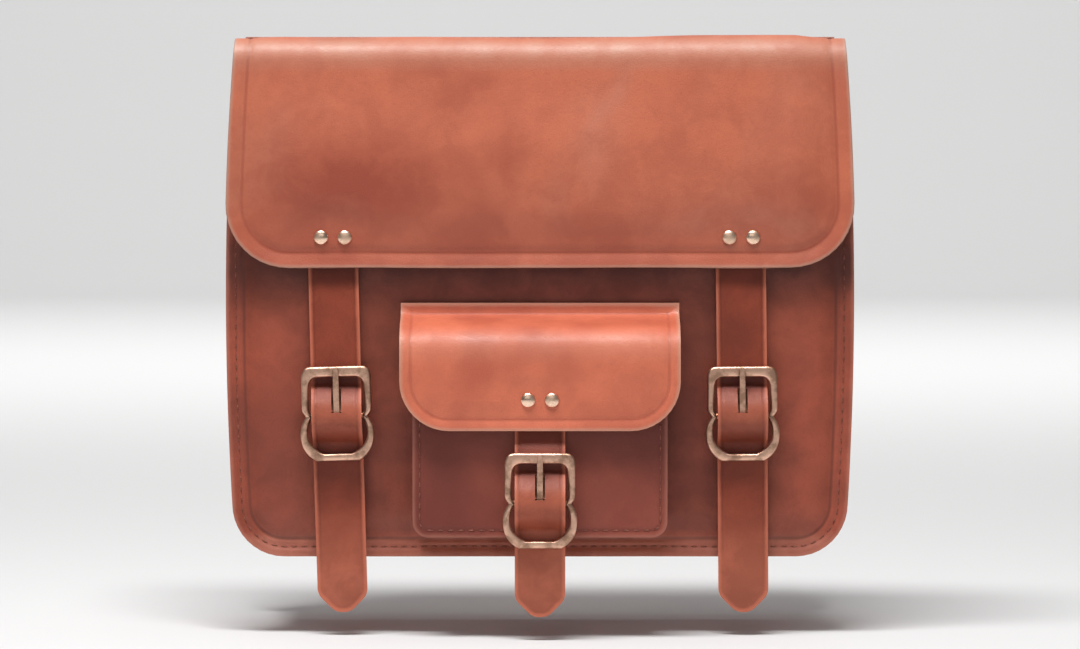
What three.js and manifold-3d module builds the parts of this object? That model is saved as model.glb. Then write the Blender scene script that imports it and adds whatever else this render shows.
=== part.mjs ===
// Leather motorcycle saddlebag: a boxed body with a fold-over flap, a front pocket, three buckled
// closure straps and two rear mounting straps. Millimetres, +Z up, front of the bag towards -Y.
// The origin is the middle of the wear patch on the back, where the bag lies against the motorcycle.

import * as THREE from 'three';
import { mergeVertices } from 'three/addons/utils/BufferGeometryUtils.js';
import Module from 'manifold-3d';

// ---- driving dimensions ----

const bagWidth = 320;            // widest place of the body, left to right
const bodyHeight = 264;          // top of the closed flap to the bottom edge
const bodyDepth = 110;           // wear patch face to the front panel's face
const leather = 3;               // panels, gusset and flap
const softLeather = 2.6;         // straps
const thinLeather = 2;           // buckle tabs and strap bridges
const patchThickness = 2.5;      // wear patch and flap hem, on the back panel
const clearance = 0.3;           // between pieces that are only laid or sewn together

const sideWaist = 5;             // the body is this much narrower per side at its top
const bottomTaper = 3;           // and this much at its bottom
const cornerRadius = 27;         // bottom corners of the body panels
const seamWidth = 8;             // panel edge that stands outside the gusset
const panelSwell = 4;            // front panel stands this much proud of its sewn rim
const rimWidth = 11;             // flat sewn rim of the front panel

const flapDrop = 115;            // front of the flap, top to lower edge
const flapCorner = 33;           // lower corners of the flap
const flapSag = 1.5;             // the lower edge hangs this much in the middle
const flapStandOff = 4.2;        // flap's inner face in front of the face that it covers
const hemHeight = 30;            // flap leather sewn down on the back panel

const pocketWidth = 128.6;
const pocketDepth = 25;
const pocketTop = -30;           // height of the pocket's open mouth
const pocketBottom = -120;
const pocketCorner = 8;
const pocketWall = 2.5;
const pocketFlapWidth = 141.4;
const pocketFlapTop = -2.4;
const pocketFlapBottom = -65.7;
const pocketFlapCorner = 25;
const pocketHemHeight = 6.6;

const strapWidth = 25.4;
const leftStrap = -105;          // middles of the two flap straps at the flap's edge
const rightStrap = 102;
const strapTip = -159.6;         // height that the three strap ends hang to
const tipChamfer = 9;
const flapBarHeight = -59.5;     // centre bar of the flap straps' buckles
const pocketBarHeight = -101.9;  // centre bar of the pocket strap's buckle
const leftLean = -1.6;           // degrees that each strap hangs out of plumb
const rightLean = -0.5;
const pocketLean = 0;
const rivetPitch = 12;
const rivetRise = 15.5;          // rivets above the flap's lower edge
const rivetDome = 3.75;          // radius of the domed head
const rivetShank = 1.5;
const strapRootHeight = 27;      // strap leather riveted behind the flap

const wire = 1.8;                // half thickness of the buckle frame, radius of its bar
const strapPlay = 1.4;           // strap edge to the buckle's side bar
const loopFlare = 1;             // the lower loop is this much wider per side than the upper frame
const buckleRise = 25.3;         // bar to the top edge
const buckleFall = 22.7;         // bar to the bottom edge
const buckleSide = 3.7;          // width of the side bars
const buckleTopBar = 5.4;        // width of the top bar
const buckleWaist = 2.4;         // notch beside the centre bar
const tongueWidth = 3.8;
const tongueThickness = 2.4;
const tabInset = 2.7;            // buckle tab narrower than its strap, per side
const tabRise = 19;              // buckle tab above the bar
const snapRise = 13;             // press stud above the bar
const snapRadius = 6;
const studRadius = 3.2;

const rearStrapSpacing = 190;
const rearStrapInset = 0.2;      // rear strap narrower than the others, per side
const rearLoopGap = 24;          // room for the motorcycle's carrier tube
const rearLoopHalf = 32;         // straight half length of the strap loop
const rearBarHeight = 0;
const bridgeLap = 13.5;          // riveted ends of the bridge, beside the rear strap
const bridgeRivetInset = 5;
const bridgeHeight = 34;
const patchWidth = 110;
const patchHeight = 180;

// ---- places that follow from them ----

const bodyTop = bodyHeight / 2;
const bodyBottom = -bodyHeight / 2;
const backFace = -patchThickness;
const backInner = backFace - leather;
const frontFace = -bodyDepth;
const rimFace = frontFace + panelSwell;
const rimInner = rimFace + leather;
const flapUnder = bodyTop - leather;
const flapLower = bodyTop - flapDrop;
const flapFrontInner = frontFace - flapStandOff;
const flapFrontFace = flapFrontInner - leather;
const pocketFace = frontFace - pocketDepth;
const rootFront = flapStandOff - 0.4;                      // strap root's face, from the covered face
const barOut = rootFront + 3.5 + clearance + wire + 1.2;   // buckle frame's mid plane, from the face
const behindBar = barOut - wire - clearance - softLeather / 2;
const overBar = barOut + wire + 1.5 * clearance + thinLeather + softLeather / 2 + 0.6;
const tabOut = behindBar - softLeather / 2 - clearance - thinLeather / 2;
const tabBack = tabOut - thinLeather / 2;
const buckleWidth = strapWidth + 2 * (strapPlay + buckleSide);
const buckleLoopWidth = buckleWidth + 2 * loopFlare;
const tabWidth = strapWidth - 2 * tabInset;
const rearStrapWidth = strapWidth - 2 * rearStrapInset;
const bridgeWidth = rearStrapWidth + 2 * bridgeLap;
const topBarRise = buckleRise - buckleTopBar / 2;
const lowerBarFall = buckleFall - wire;

// ---- solids ----

const wasm = await Module();
wasm.setup();

function toSolid(geometry) {
  const bare = geometry.clone();
  bare.deleteAttribute('normal');
  bare.deleteAttribute('uv');
  const merged = mergeVertices(bare, 1e-4);
  const index = merged.index.array;
  const triangles = [];
  for (let i = 0; i < index.length; i += 3) {
    const [a, b, c] = [index[i], index[i + 1], index[i + 2]];
    if (a !== b && b !== c && a !== c) triangles.push(a, b, c);
  }
  const vertProperties = new Float32Array(merged.attributes.position.array);
  const mesh = new wasm.Mesh({ numProp: 3, vertProperties, triVerts: new Uint32Array(triangles) });
  return new wasm.Manifold(mesh);
}

function toGeometry(solid) {
  const mesh = solid.getMesh();
  const geometry = new THREE.BufferGeometry();
  geometry.setAttribute('position', new THREE.BufferAttribute(new Float32Array(mesh.vertProperties), 3));
  geometry.setIndex(Array.from(mesh.triVerts));
  return geometry;
}

function join(...geometries) {
  return toGeometry(geometries.map(toSolid).reduce((whole, piece) => whole.add(piece)));
}

function cut(geometry, ...tools) {
  return toGeometry(tools.map(toSolid).reduce((whole, tool) => whole.subtract(tool), toSolid(geometry)));
}

function keepInside(geometry, outline) {
  return toGeometry(toSolid(geometry).intersect(toSolid(outline)));
}

// A sheet in the XZ plane: the shape's y becomes height, its thickness runs from front to back.
function sheet(shape, front, back) {
  const geometry = new THREE.ExtrudeGeometry(shape, { depth: back - front, bevelEnabled: false, curveSegments: 6 });
  geometry.rotateX(Math.PI / 2);
  return geometry.translate(0, back, 0);
}

function block(x0, x1, y0, y1, z0, z1) {
  const geometry = new THREE.BoxGeometry(x1 - x0, y1 - y0, z1 - z0);
  return geometry.translate((x0 + x1) / 2, (y0 + y1) / 2, (z0 + z1) / 2);
}

// A side outline, points (y, z), made this wide along X.
function acrossX(shape, width) {
  const geometry = new THREE.ExtrudeGeometry(shape, { depth: width, bevelEnabled: false, curveSegments: 7 });
  geometry.translate(0, 0, -width / 2);
  const axes = [new THREE.Vector3(0, 1, 0), new THREE.Vector3(0, 0, 1), new THREE.Vector3(1, 0, 0)];
  return geometry.applyMatrix4(new THREE.Matrix4().makeBasis(...axes));
}

// A strip of leather whose middle follows the points (y, z).
function ribbon(points, thickness, width) {
  const left = [];
  const right = [];
  points.forEach((point, i) => {
    const before = points[Math.max(i - 1, 0)];
    const after = points[Math.min(i + 1, points.length - 1)];
    const along = after.clone().sub(before).normalize();
    const side = new THREE.Vector2(-along.y, along.x).multiplyScalar(thickness / 2);
    left.push(point.clone().add(side));
    right.push(point.clone().sub(side));
  });
  return acrossX(new THREE.Shape(left.concat(right.reverse())), width);
}

function smoothLine(points, steps) {
  const vectors = points.map(([y, z]) => new THREE.Vector3(y, z, 0));
  const curve = new THREE.CatmullRomCurve3(vectors, false, 'centripetal');
  return curve.getSpacedPoints(steps).map((p) => new THREE.Vector2(p.x, p.y));
}

// A turned piece, points (radius, outward): its axis runs along -Y, away from the bag.
function turned(profile, segments = 12) {
  const points = profile.map(([radius, out]) => new THREE.Vector2(radius, out));
  return new THREE.LatheGeometry(points, segments).rotateX(Math.PI);
}

function pin(radius, front, back, x = 0, z = 0) {
  const geometry = new THREE.CylinderGeometry(radius, radius, back - front, 10);
  return geometry.translate(x, (front + back) / 2, z);
}

function hoop(inner, outer, width, y, z) {
  const shape = new THREE.Shape().absarc(0, 0, outer, 0, 2 * Math.PI, false);
  shape.holes.push(new THREE.Path().absarc(0, 0, inner, 0, 2 * Math.PI, true));
  return acrossX(shape, width).translate(0, y, z);
}

// ---- outlines ----

// Body panel edge, inset, from its top left corner round the bottom to its top right corner.
function panelEdge(inset, top) {
  const half = bagWidth / 2 - inset;
  const low = half - bottomTaper;
  const high = half - sideWaist;
  const bottom = bodyBottom + inset;
  const radius = cornerRadius - inset * 0.8;
  const bow = 2 * half - (low + high) / 2;
  const path = new THREE.Path();
  path.moveTo(-high, top);
  path.quadraticCurveTo(-bow, (top + bottom) / 2, -low, bottom + radius);
  path.quadraticCurveTo(-low, bottom, -low + radius, bottom);
  path.lineTo(low - radius, bottom);
  path.quadraticCurveTo(low, bottom, low, bottom + radius);
  path.quadraticCurveTo(bow, (top + bottom) / 2, high, top);
  return path.getPoints(6);
}

function uBand(outerInset, innerInset, top) {
  return new THREE.Shape(panelEdge(outerInset, top).concat(panelEdge(innerInset, top).reverse()));
}

function roundedBottom(width, top, bottom, radius, sag = 0) {
  const half = width / 2;
  const shape = new THREE.Shape();
  shape.moveTo(-half, top);
  shape.lineTo(-half, bottom + radius);
  shape.quadraticCurveTo(-half, bottom, -half + radius, bottom);
  shape.quadraticCurveTo(0, bottom - 2 * sag, half - radius, bottom);
  shape.quadraticCurveTo(half, bottom, half, bottom + radius);
  shape.lineTo(half, top);
  shape.closePath();
  return shape;
}

function flapOutline() {
  const half = bagWidth / 2;
  const high = half - sideWaist;
  const shape = new THREE.Shape();
  shape.moveTo(-high, bodyTop);
  shape.quadraticCurveTo(-half, bodyTop - flapDrop / 3, -half, flapLower + flapCorner);
  shape.quadraticCurveTo(-half, flapLower, -half + flapCorner, flapLower);
  shape.quadraticCurveTo(0, flapLower - 2 * flapSag, half - flapCorner, flapLower);
  shape.quadraticCurveTo(half, flapLower, half, flapLower + flapCorner);
  shape.quadraticCurveTo(half, bodyTop - flapDrop / 3, high, bodyTop);
  shape.closePath();
  return shape;
}

function strapOutline(top, tip, width) {
  const half = width / 2;
  const shape = new THREE.Shape();
  shape.moveTo(-half, top);
  shape.lineTo(-half, tip + tipChamfer);
  shape.quadraticCurveTo(-half + 1, tip + 2, -half / 2, tip);
  shape.lineTo(half / 2, tip);
  shape.quadraticCurveTo(half - 1, tip + 2, half, tip + tipChamfer);
  shape.lineTo(half, top);
  shape.closePath();
  return shape;
}

// ---- materials and placing ----

const finish = {
  leather: new THREE.MeshStandardMaterial({ color: 0xb5624a, roughness: 0.55, metalness: 0 }),
  darkLeather: new THREE.MeshStandardMaterial({ color: 0x93473a, roughness: 0.6, metalness: 0 }),
  suede: new THREE.MeshStandardMaterial({ color: 0x9a6a4c, roughness: 0.9, metalness: 0 }),
  board: new THREE.MeshStandardMaterial({ color: 0x2b2725, roughness: 0.8, metalness: 0 }),
  brass: new THREE.MeshStandardMaterial({ color: 0xb08d62, roughness: 0.35, metalness: 1 }),
  rivet: new THREE.MeshStandardMaterial({ color: 0xd9bfa2, roughness: 0.3, metalness: 1 }),
};

function place(parent, name, geometry, material) {
  const mesh = new THREE.Mesh(geometry, material);
  mesh.name = name;
  parent.add(mesh);
  return mesh;
}

const saddlebag = new THREE.Group();

// ---- places of the closures ----

const closures = [
  { name: 'left', x: leftStrap, face: frontFace, edge: flapLower - flapSag, bar: flapBarHeight, lean: leftLean },
  { name: 'right', x: rightStrap, face: frontFace, edge: flapLower - flapSag, bar: flapBarHeight, lean: rightLean },
  { name: 'pocket', x: 0, face: pocketFace, edge: pocketFlapBottom, bar: pocketBarHeight, lean: pocketLean },
];
const hingeDrop = 0.5;                                     // strap hinge below the flap's edge

// Where a closure's own point (x, z below its hinge) lies on the bag.
function onBag(closure, x, z) {
  const turn = THREE.MathUtils.degToRad(closure.lean);
  const hinge = closure.edge - hingeDrop;
  return [closure.x + x * Math.cos(turn) + z * Math.sin(turn), hinge - x * Math.sin(turn) + z * Math.cos(turn)];
}

function studHole(closure, front, back) {
  const rise = closure.bar + snapRise - (closure.edge - hingeDrop);
  const [x, z] = onBag(closure, 0, rise);
  return pin(rivetShank + clearance, front, back, x, z);
}

function rivetPlaces(closure) {
  return [-1, 1].map((side) => [closure.x + side * rivetPitch / 2, closure.edge + rivetRise]);
}

// ---- body shell ----

const bridgeHoles = [-1, 1].flatMap((side) => [-1, 1].map((end) => (
  [side * rearStrapSpacing / 2 + end * (bridgeWidth / 2 - bridgeRivetInset), rearBarHeight]
)));
const backHoles = bridgeHoles.map(([x, z]) => pin(rivetShank + clearance, backInner - leather, 1, x, z));

place(saddlebag, 'back_panel', cut(
  sheet(new THREE.Shape(panelEdge(0, flapUnder - clearance)), backInner, backFace), ...backHoles,
), finish.leather);

place(saddlebag, 'gusset', join(
  sheet(uBand(seamWidth, seamWidth + leather, flapUnder - 2 * leather), rimInner, backInner),
  sheet(uBand(0, seamWidth + leather, flapUnder - 2 * leather), rimInner, rimInner + thinLeather),
  sheet(uBand(0, seamWidth + leather, flapUnder - 2 * leather), backInner - thinLeather, backInner),
), finish.leather);

const flapStuds = closures.slice(0, 2).map((closure) => studHole(closure, frontFace - 1, rimInner + 1));
const frontTop = flapUnder - leather;
place(saddlebag, 'front_panel', cut(join(
  sheet(uBand(0, rimWidth + leather, frontTop), rimFace, rimInner),
  sheet(uBand(rimWidth, rimWidth + leather, frontTop), frontFace, rimInner),
  sheet(new THREE.Shape(panelEdge(rimWidth, frontTop)), frontFace, frontFace + leather),
), ...flapStuds), finish.leather);

const boardInset = seamWidth + leather + 1.5;
place(saddlebag, 'back_stiffener', cut(
  sheet(new THREE.Shape(panelEdge(boardInset, flapUnder - 20)), backInner - clearance - 2, backInner - clearance),
  ...backHoles,
), finish.board);

const floorTop = bodyBottom + seamWidth + leather + clearance;
const boardHalf = bagWidth / 2 - bottomTaper - cornerRadius - clearance;
place(saddlebag, 'base_board', block(
  -boardHalf, boardHalf, rimInner + leather + 1, backInner - leather - 1, floorTop, floorTop + 3,
), finish.board);

place(saddlebag, 'wear_patch', block(
  -patchWidth / 2, patchWidth / 2, backFace, 0, -patchHeight / 2, patchHeight / 2,
), finish.darkLeather);

// ---- flap: sewn hem, top and front ----

const flapHigh = bagWidth / 2 - sideWaist;
place(saddlebag, 'flap_hem', block(
  -flapHigh, flapHigh, backFace, 0, flapUnder - clearance - hemHeight, flapUnder - clearance,
), finish.leather);

place(saddlebag, 'flap_top', block(
  -flapHigh, flapHigh, flapFrontInner + clearance, 0, flapUnder, bodyTop,
), finish.leather);

const flapRivetHoles = closures.slice(0, 2).flatMap((closure) => rivetPlaces(closure).map(([x, z]) => (
  pin(rivetShank + clearance, flapFrontFace - 1, flapFrontInner + 1, x, z)
)));
place(saddlebag, 'flap_front', cut(
  sheet(flapOutline(), flapFrontFace, flapFrontInner), ...flapRivetHoles,
), finish.leather);

// ---- front pocket ----

function pocketBand() {
  const outer = roundedBottom(pocketWidth, pocketTop, pocketBottom, pocketCorner).getPoints(6);
  const innerWidth = pocketWidth - 2 * pocketWall;
  const innerBottom = pocketBottom + pocketWall;
  const inner = roundedBottom(innerWidth, pocketTop, innerBottom, pocketCorner - pocketWall).getPoints(6);
  return new THREE.Shape(outer.slice(0, -1).concat(inner.slice(0, -1).reverse()));
}

const pocketClosure = closures[2];
place(saddlebag, 'pocket_gusset', sheet(
  pocketBand(), pocketFace + pocketWall + clearance, frontFace - clearance,
), finish.darkLeather);

place(saddlebag, 'pocket_front', cut(
  sheet(roundedBottom(pocketWidth, pocketTop, pocketBottom, pocketCorner), pocketFace, pocketFace + pocketWall),
  studHole(pocketClosure, pocketFace - 1, pocketFace + pocketWall + 1),
), finish.darkLeather);

const pocketHemBottom = pocketFlapTop - pocketHemHeight;
place(saddlebag, 'pocket_flap_hem', block(
  -pocketFlapWidth / 2, pocketFlapWidth / 2, frontFace - leather, frontFace, pocketHemBottom, pocketFlapTop,
), finish.leather);

const pocketFlapOut = pocketFace - flapStandOff - leather / 2;
const pocketFlapStart = pocketHemBottom - clearance - leather / 2;
const pocketFlapLine = smoothLine([
  [frontFace - clearance, pocketFlapStart],
  [frontFace - 0.35 * pocketDepth, pocketFlapStart - 1],
  [pocketFace + 0.12 * pocketDepth, pocketFlapStart - 5],
  [pocketFlapOut + 1.5, pocketFlapStart - 12],
  [pocketFlapOut, pocketFlapStart - 20],
  [pocketFlapOut, pocketFlapStart - 35],
  [pocketFlapOut, pocketFlapBottom - 2],
], 22);
const pocketSilhouette = sheet(
  roundedBottom(pocketFlapWidth, pocketFlapTop, pocketFlapBottom, pocketFlapCorner), pocketFlapOut - 10, frontFace,
);
place(saddlebag, 'pocket_flap', cut(
  keepInside(ribbon(pocketFlapLine, leather, pocketFlapWidth + 10), pocketSilhouette),
  ...rivetPlaces(pocketClosure).map(([x, z]) => (
    pin(rivetShank + clearance, pocketFlapOut - leather, pocketFlapOut + leather, x, z)
  )),
), finish.leather);

// ---- buckle: a squarish upper frame and a rounder lower loop on one centre bar ----

function buckleEdge(shape, inset, topInset) {
  const half = buckleWidth / 2 - inset;
  const loop = buckleLoopWidth / 2 - inset;
  const waist = half - buckleWaist;
  const top = buckleRise - topInset;
  const bottom = -buckleFall + inset;
  shape.moveTo(-half + 5, top);
  shape.quadraticCurveTo(-half, top, -half, top - 6);
  shape.lineTo(-half, 4.5);
  shape.quadraticCurveTo(-half, 1.5, -waist, 0);
  shape.quadraticCurveTo(-loop, -3, -loop, -9);
  shape.quadraticCurveTo(-loop, bottom + 4, -loop + 8, bottom);
  shape.lineTo(loop - 8, bottom);
  shape.quadraticCurveTo(loop, bottom + 4, loop, -9);
  shape.quadraticCurveTo(loop, -3, waist, 0);
  shape.quadraticCurveTo(half, 1.5, half, 4.5);
  shape.lineTo(half, top - 6);
  shape.quadraticCurveTo(half, top, half - 5, top);
  shape.closePath();
  return shape;
}

function buckleFrame(outward) {
  const outline = buckleEdge(new THREE.Shape(), 0, 0);
  outline.holes.push(buckleEdge(new THREE.Path(), buckleSide, buckleTopBar));
  const loops = new THREE.ExtrudeGeometry(outline, { depth: 2 * wire, bevelEnabled: false, curveSegments: 3 });
  loops.rotateX(Math.PI / 2).translate(0, wire - outward, 0);
  const bar = new THREE.CylinderGeometry(wire, wire, buckleWidth - 2 * buckleWaist - buckleSide, 12);
  return join(loops, bar.rotateZ(Math.PI / 2).translate(0, -outward, 0));
}

function tongue(outward) {
  const ring = hoop(wire + clearance, wire + clearance + 1.8, tongueWidth, -outward, 0);
  const lie = outward + wire + clearance + tongueThickness / 2;
  const line = smoothLine([[-lie + 0.5, 0.6], [-lie, 6], [-lie, buckleRise - 5], [-lie, buckleRise - 0.5]], 8);
  return cut(join(ring, ribbon(line, tongueThickness, tongueWidth)), acrossX(
    new THREE.Shape().absarc(0, 0, wire + clearance, 0, 2 * Math.PI, false), 2 * tongueWidth,
  ).translate(0, -outward, 0));
}

// The fold of leather round the centre bar, open in the middle for the tongue.
function barFold(outward, width) {
  return hoop(wire + clearance, wire + clearance + thinLeather, width, -outward, 0);
}

function tongueRoom(outward) {
  const room = wire + thinLeather + 2 * clearance + 0.4;
  const half = tongueWidth / 2 + 2 * clearance;
  return block(-half, half, -outward - room, -outward + room, -room, room);
}

function barHole(outward, width) {
  const shape = new THREE.Shape().absarc(0, 0, wire + clearance, 0, 2 * Math.PI, false);
  return acrossX(shape, width + 4).translate(0, -outward, 0);
}

function buckleTab(outward) {
  const ringBack = wire + clearance + thinLeather / 2;
  const line = smoothLine([
    [-outward + ringBack, 0], [-outward + ringBack + 0.5, 3], [-tabOut - 0.4, 5.4], [-tabOut, 8], [-tabOut, tabRise],
  ], 10);
  const tab = join(barFold(outward, tabWidth), ribbon(line, thinLeather, tabWidth));
  const snapHole = pin(rivetShank + clearance, -tabOut - thinLeather, -tabOut + thinLeather, 0, snapRise);
  return cut(tab, barHole(outward, tabWidth), tongueRoom(outward), snapHole);
}

// The strap's middle line past the buckle, height from the bar: behind, over and behind again.
function throughBuckle() {
  return [
    [-behindBar, topBarRise + 1], [-behindBar, topBarRise - 6.2], [-(behindBar + overBar) / 2, 10.6],
    [-overBar + 1, 5.2], [-overBar, 0], [-overBar + 1.1, -5], [-(behindBar + overBar) / 2 + 0.6, -9.4],
    [-behindBar, -13.8], [-behindBar, -lowerBarFall - 1],
  ];
}

function tongueSlot(outward) {
  const half = tongueWidth / 2 + 2 * clearance;
  return block(-half, half, -outward - 30, -outward + 30, 0.8, 15.5);
}

// ---- closure straps ----

const socketSeat = tabBack - 0.15;
const socketRim = 1.1;
const rivetBack = 0.35;

for (const closure of closures) {
  const { name } = closure;
  const hinge = closure.edge - hingeDrop;
  const bar = closure.bar - hinge;
  const tip = strapTip - hinge;
  const rootOut = rootFront - softLeather / 2;

  const hanging = new THREE.Group();
  hanging.position.set(closure.x, closure.face, hinge);
  hanging.rotation.y = THREE.MathUtils.degToRad(closure.lean);
  saddlebag.add(hanging);

  const line = smoothLine([
    [-rootOut, -clearance],
    [-rootOut - 0.4, -5],
    ...throughBuckle().map(([y, z]) => [y, z + bar]),
    [-behindBar + 1, bar - lowerBarFall - 14],
    [-behindBar + 2.5, tip - 1],
  ], 44);
  const outline = sheet(strapOutline(-clearance, tip, strapWidth), -overBar - 10, 5);
  place(hanging, `${name}_strap`, cut(
    keepInside(ribbon(line, softLeather, strapWidth + 10), outline),
    tongueSlot(barOut).translate(0, 0, bar),
  ), finish.leather);
  place(hanging, `${name}_buckle`, buckleFrame(barOut).translate(0, 0, bar), finish.brass);
  place(hanging, `${name}_tongue`, tongue(barOut).translate(0, 0, bar), finish.brass);
  place(hanging, `${name}_buckle_tab`, buckleTab(barOut).translate(0, 0, bar), finish.darkLeather);

  place(hanging, `${name}_snap_socket`, turned([
    [0, socketSeat + 1.5], [rivetShank, socketSeat + 1.5], [rivetShank, socketSeat], [snapRadius, socketSeat],
    [snapRadius, socketRim], [snapRadius - 1.2, socketRim],
    [snapRadius - 1.2, socketSeat - 0.6], [0, socketSeat - 0.6],
  ].reverse()).translate(0, 0, bar + snapRise), finish.rivet);
  place(hanging, `${name}_snap_stud`, turned([
    [0, -pocketWall + 0.5], [rivetShank, -pocketWall + 0.5], [rivetShank, clearance / 3],
    [snapRadius, clearance / 3], [snapRadius, 0.8], [studRadius - 0.5, 0.8], [studRadius, 1.8],
    [studRadius - 0.6, 2.4], [0, 2.4],
  ]).translate(0, 0, bar + snapRise), finish.rivet);

  const rootBottom = closure.edge + clearance;
  place(saddlebag, `${name}_strap_root`, cut(
    block(
      closure.x - strapWidth / 2, closure.x + strapWidth / 2, closure.face - rootFront,
      closure.face - rootFront + softLeather, rootBottom, rootBottom + strapRootHeight,
    ),
    ...rivetPlaces(closure).map(([x, z]) => pin(rivetShank + clearance, closure.face - 10, closure.face, x, z)),
  ), finish.leather);

  const seat = flapStandOff + leather + 0.1;
  rivetPlaces(closure).forEach(([x, z], i) => {
    place(saddlebag, `${name}_rivet_${i + 1}`, turned([
      [0, rivetBack], [rivetDome - 0.7, rivetBack], [rivetDome - 0.7, rivetBack + 0.7], [rivetShank, rivetBack + 0.7],
      [rivetShank, seat], [rivetDome, seat], [rivetDome - 0.3, seat + 0.7], [rivetDome - 1.7, seat + 1.5],
      [0, seat + 1.8],
    ]).translate(x, closure.face, z), finish.rivet);
  });
}

// ---- rear mounting straps: each passes under a bridge on the back panel and buckles on itself ----

function rearStrapLine() {
  const runOut = rearLoopGap + tabOut;
  const inner = clearance + softLeather / 2;
  const outer = rearLoopGap + behindBar;
  const lowRadius = (runOut - inner) / 2;
  const topRadius = (outer - inner) / 2;
  const path = new THREE.Path();
  path.moveTo(-runOut, -12);
  path.lineTo(-runOut, -rearLoopHalf);
  path.absarc(-inner - lowRadius, -rearLoopHalf, lowRadius, Math.PI, 2 * Math.PI, false);
  path.lineTo(-inner, rearLoopHalf);
  path.absarc(-inner - topRadius, rearLoopHalf, topRadius, 0, Math.PI, false);
  const start = smoothLine([
    [-rearLoopGap - barOut + wire + clearance + thinLeather / 2, 0],
    [-rearLoopGap - barOut + wire + clearance + thinLeather / 2 + 0.5, -3],
    [-runOut - 0.3, -6], [-runOut, -9],
  ], 6);
  const end = smoothLine([
    ...throughBuckle().map(([y, z]) => [y - rearLoopGap, z]),
    [-outer - 0.3, -rearLoopHalf], [-outer + 1, -rearLoopHalf - 8],
  ], 30);
  return start.concat(path.getPoints(8), end);
}

const rearStrapShape = cut(
  join(barFold(rearLoopGap + barOut, tabWidth), ribbon(rearStrapLine(), thinLeather, rearStrapWidth)),
  barHole(rearLoopGap + barOut, rearStrapWidth),
  tongueRoom(rearLoopGap + barOut),
  tongueSlot(rearLoopGap + barOut),
);

function bridgeShape() {
  const half = bridgeWidth / 2;
  const step = rearStrapWidth / 2 + 1;
  const rise = clearance + softLeather + clearance;
  const shape = new THREE.Shape();
  shape.moveTo(-half, 0);
  shape.lineTo(-step, 0);
  shape.lineTo(-step + 1, -rise);
  shape.lineTo(step - 1, -rise);
  shape.lineTo(step, 0);
  shape.lineTo(half, 0);
  shape.lineTo(half, -thinLeather);
  shape.lineTo(step + thinLeather, -thinLeather);
  shape.lineTo(step, -rise - thinLeather);
  shape.lineTo(-step, -rise - thinLeather);
  shape.lineTo(-step - thinLeather, -thinLeather);
  shape.lineTo(-half, -thinLeather);
  shape.closePath();
  const geometry = new THREE.ExtrudeGeometry(shape, { depth: bridgeHeight, bevelEnabled: false });
  return geometry.translate(0, 0, -bridgeHeight / 2);
}

for (const side of [-1, 1]) {
  const name = side < 0 ? 'left' : 'right';
  const rear = new THREE.Group();
  rear.position.set(side * rearStrapSpacing / 2, backFace, rearBarHeight);
  rear.rotation.z = Math.PI;
  saddlebag.add(rear);

  place(rear, `${name}_rear_strap`, rearStrapShape.clone(), finish.leather);
  place(rear, `${name}_rear_buckle`, buckleFrame(rearLoopGap + barOut), finish.brass);
  place(rear, `${name}_rear_tongue`, tongue(rearLoopGap + barOut), finish.brass);
  const rivetX = bridgeWidth / 2 - bridgeRivetInset;
  place(rear, `${name}_bridge`, cut(
    bridgeShape(), ...[-1, 1].map((end) => pin(rivetShank + clearance, -10, 10, end * rivetX, 0)),
  ), finish.darkLeather);
  [-1, 1].forEach((end, i) => {
    place(rear, `${name}_bridge_rivet_${i + 1}`, turned([
      [0, -leather - 3.2], [rivetDome - 0.7, -leather - 3.2], [rivetDome - 0.7, -leather - 2.6],
      [rivetShank, -leather - 2.6], [rivetShank, thinLeather + 0.1], [rivetDome, thinLeather + 0.1],
      [rivetDome - 0.3, thinLeather + 0.8], [rivetDome - 1.7, thinLeather + 1.6], [0, thinLeather + 1.9],
    ]).translate(end * rivetX, 0, 0), finish.rivet);
  });
}

export default saddlebag;
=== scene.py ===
import bisect
import math

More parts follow.
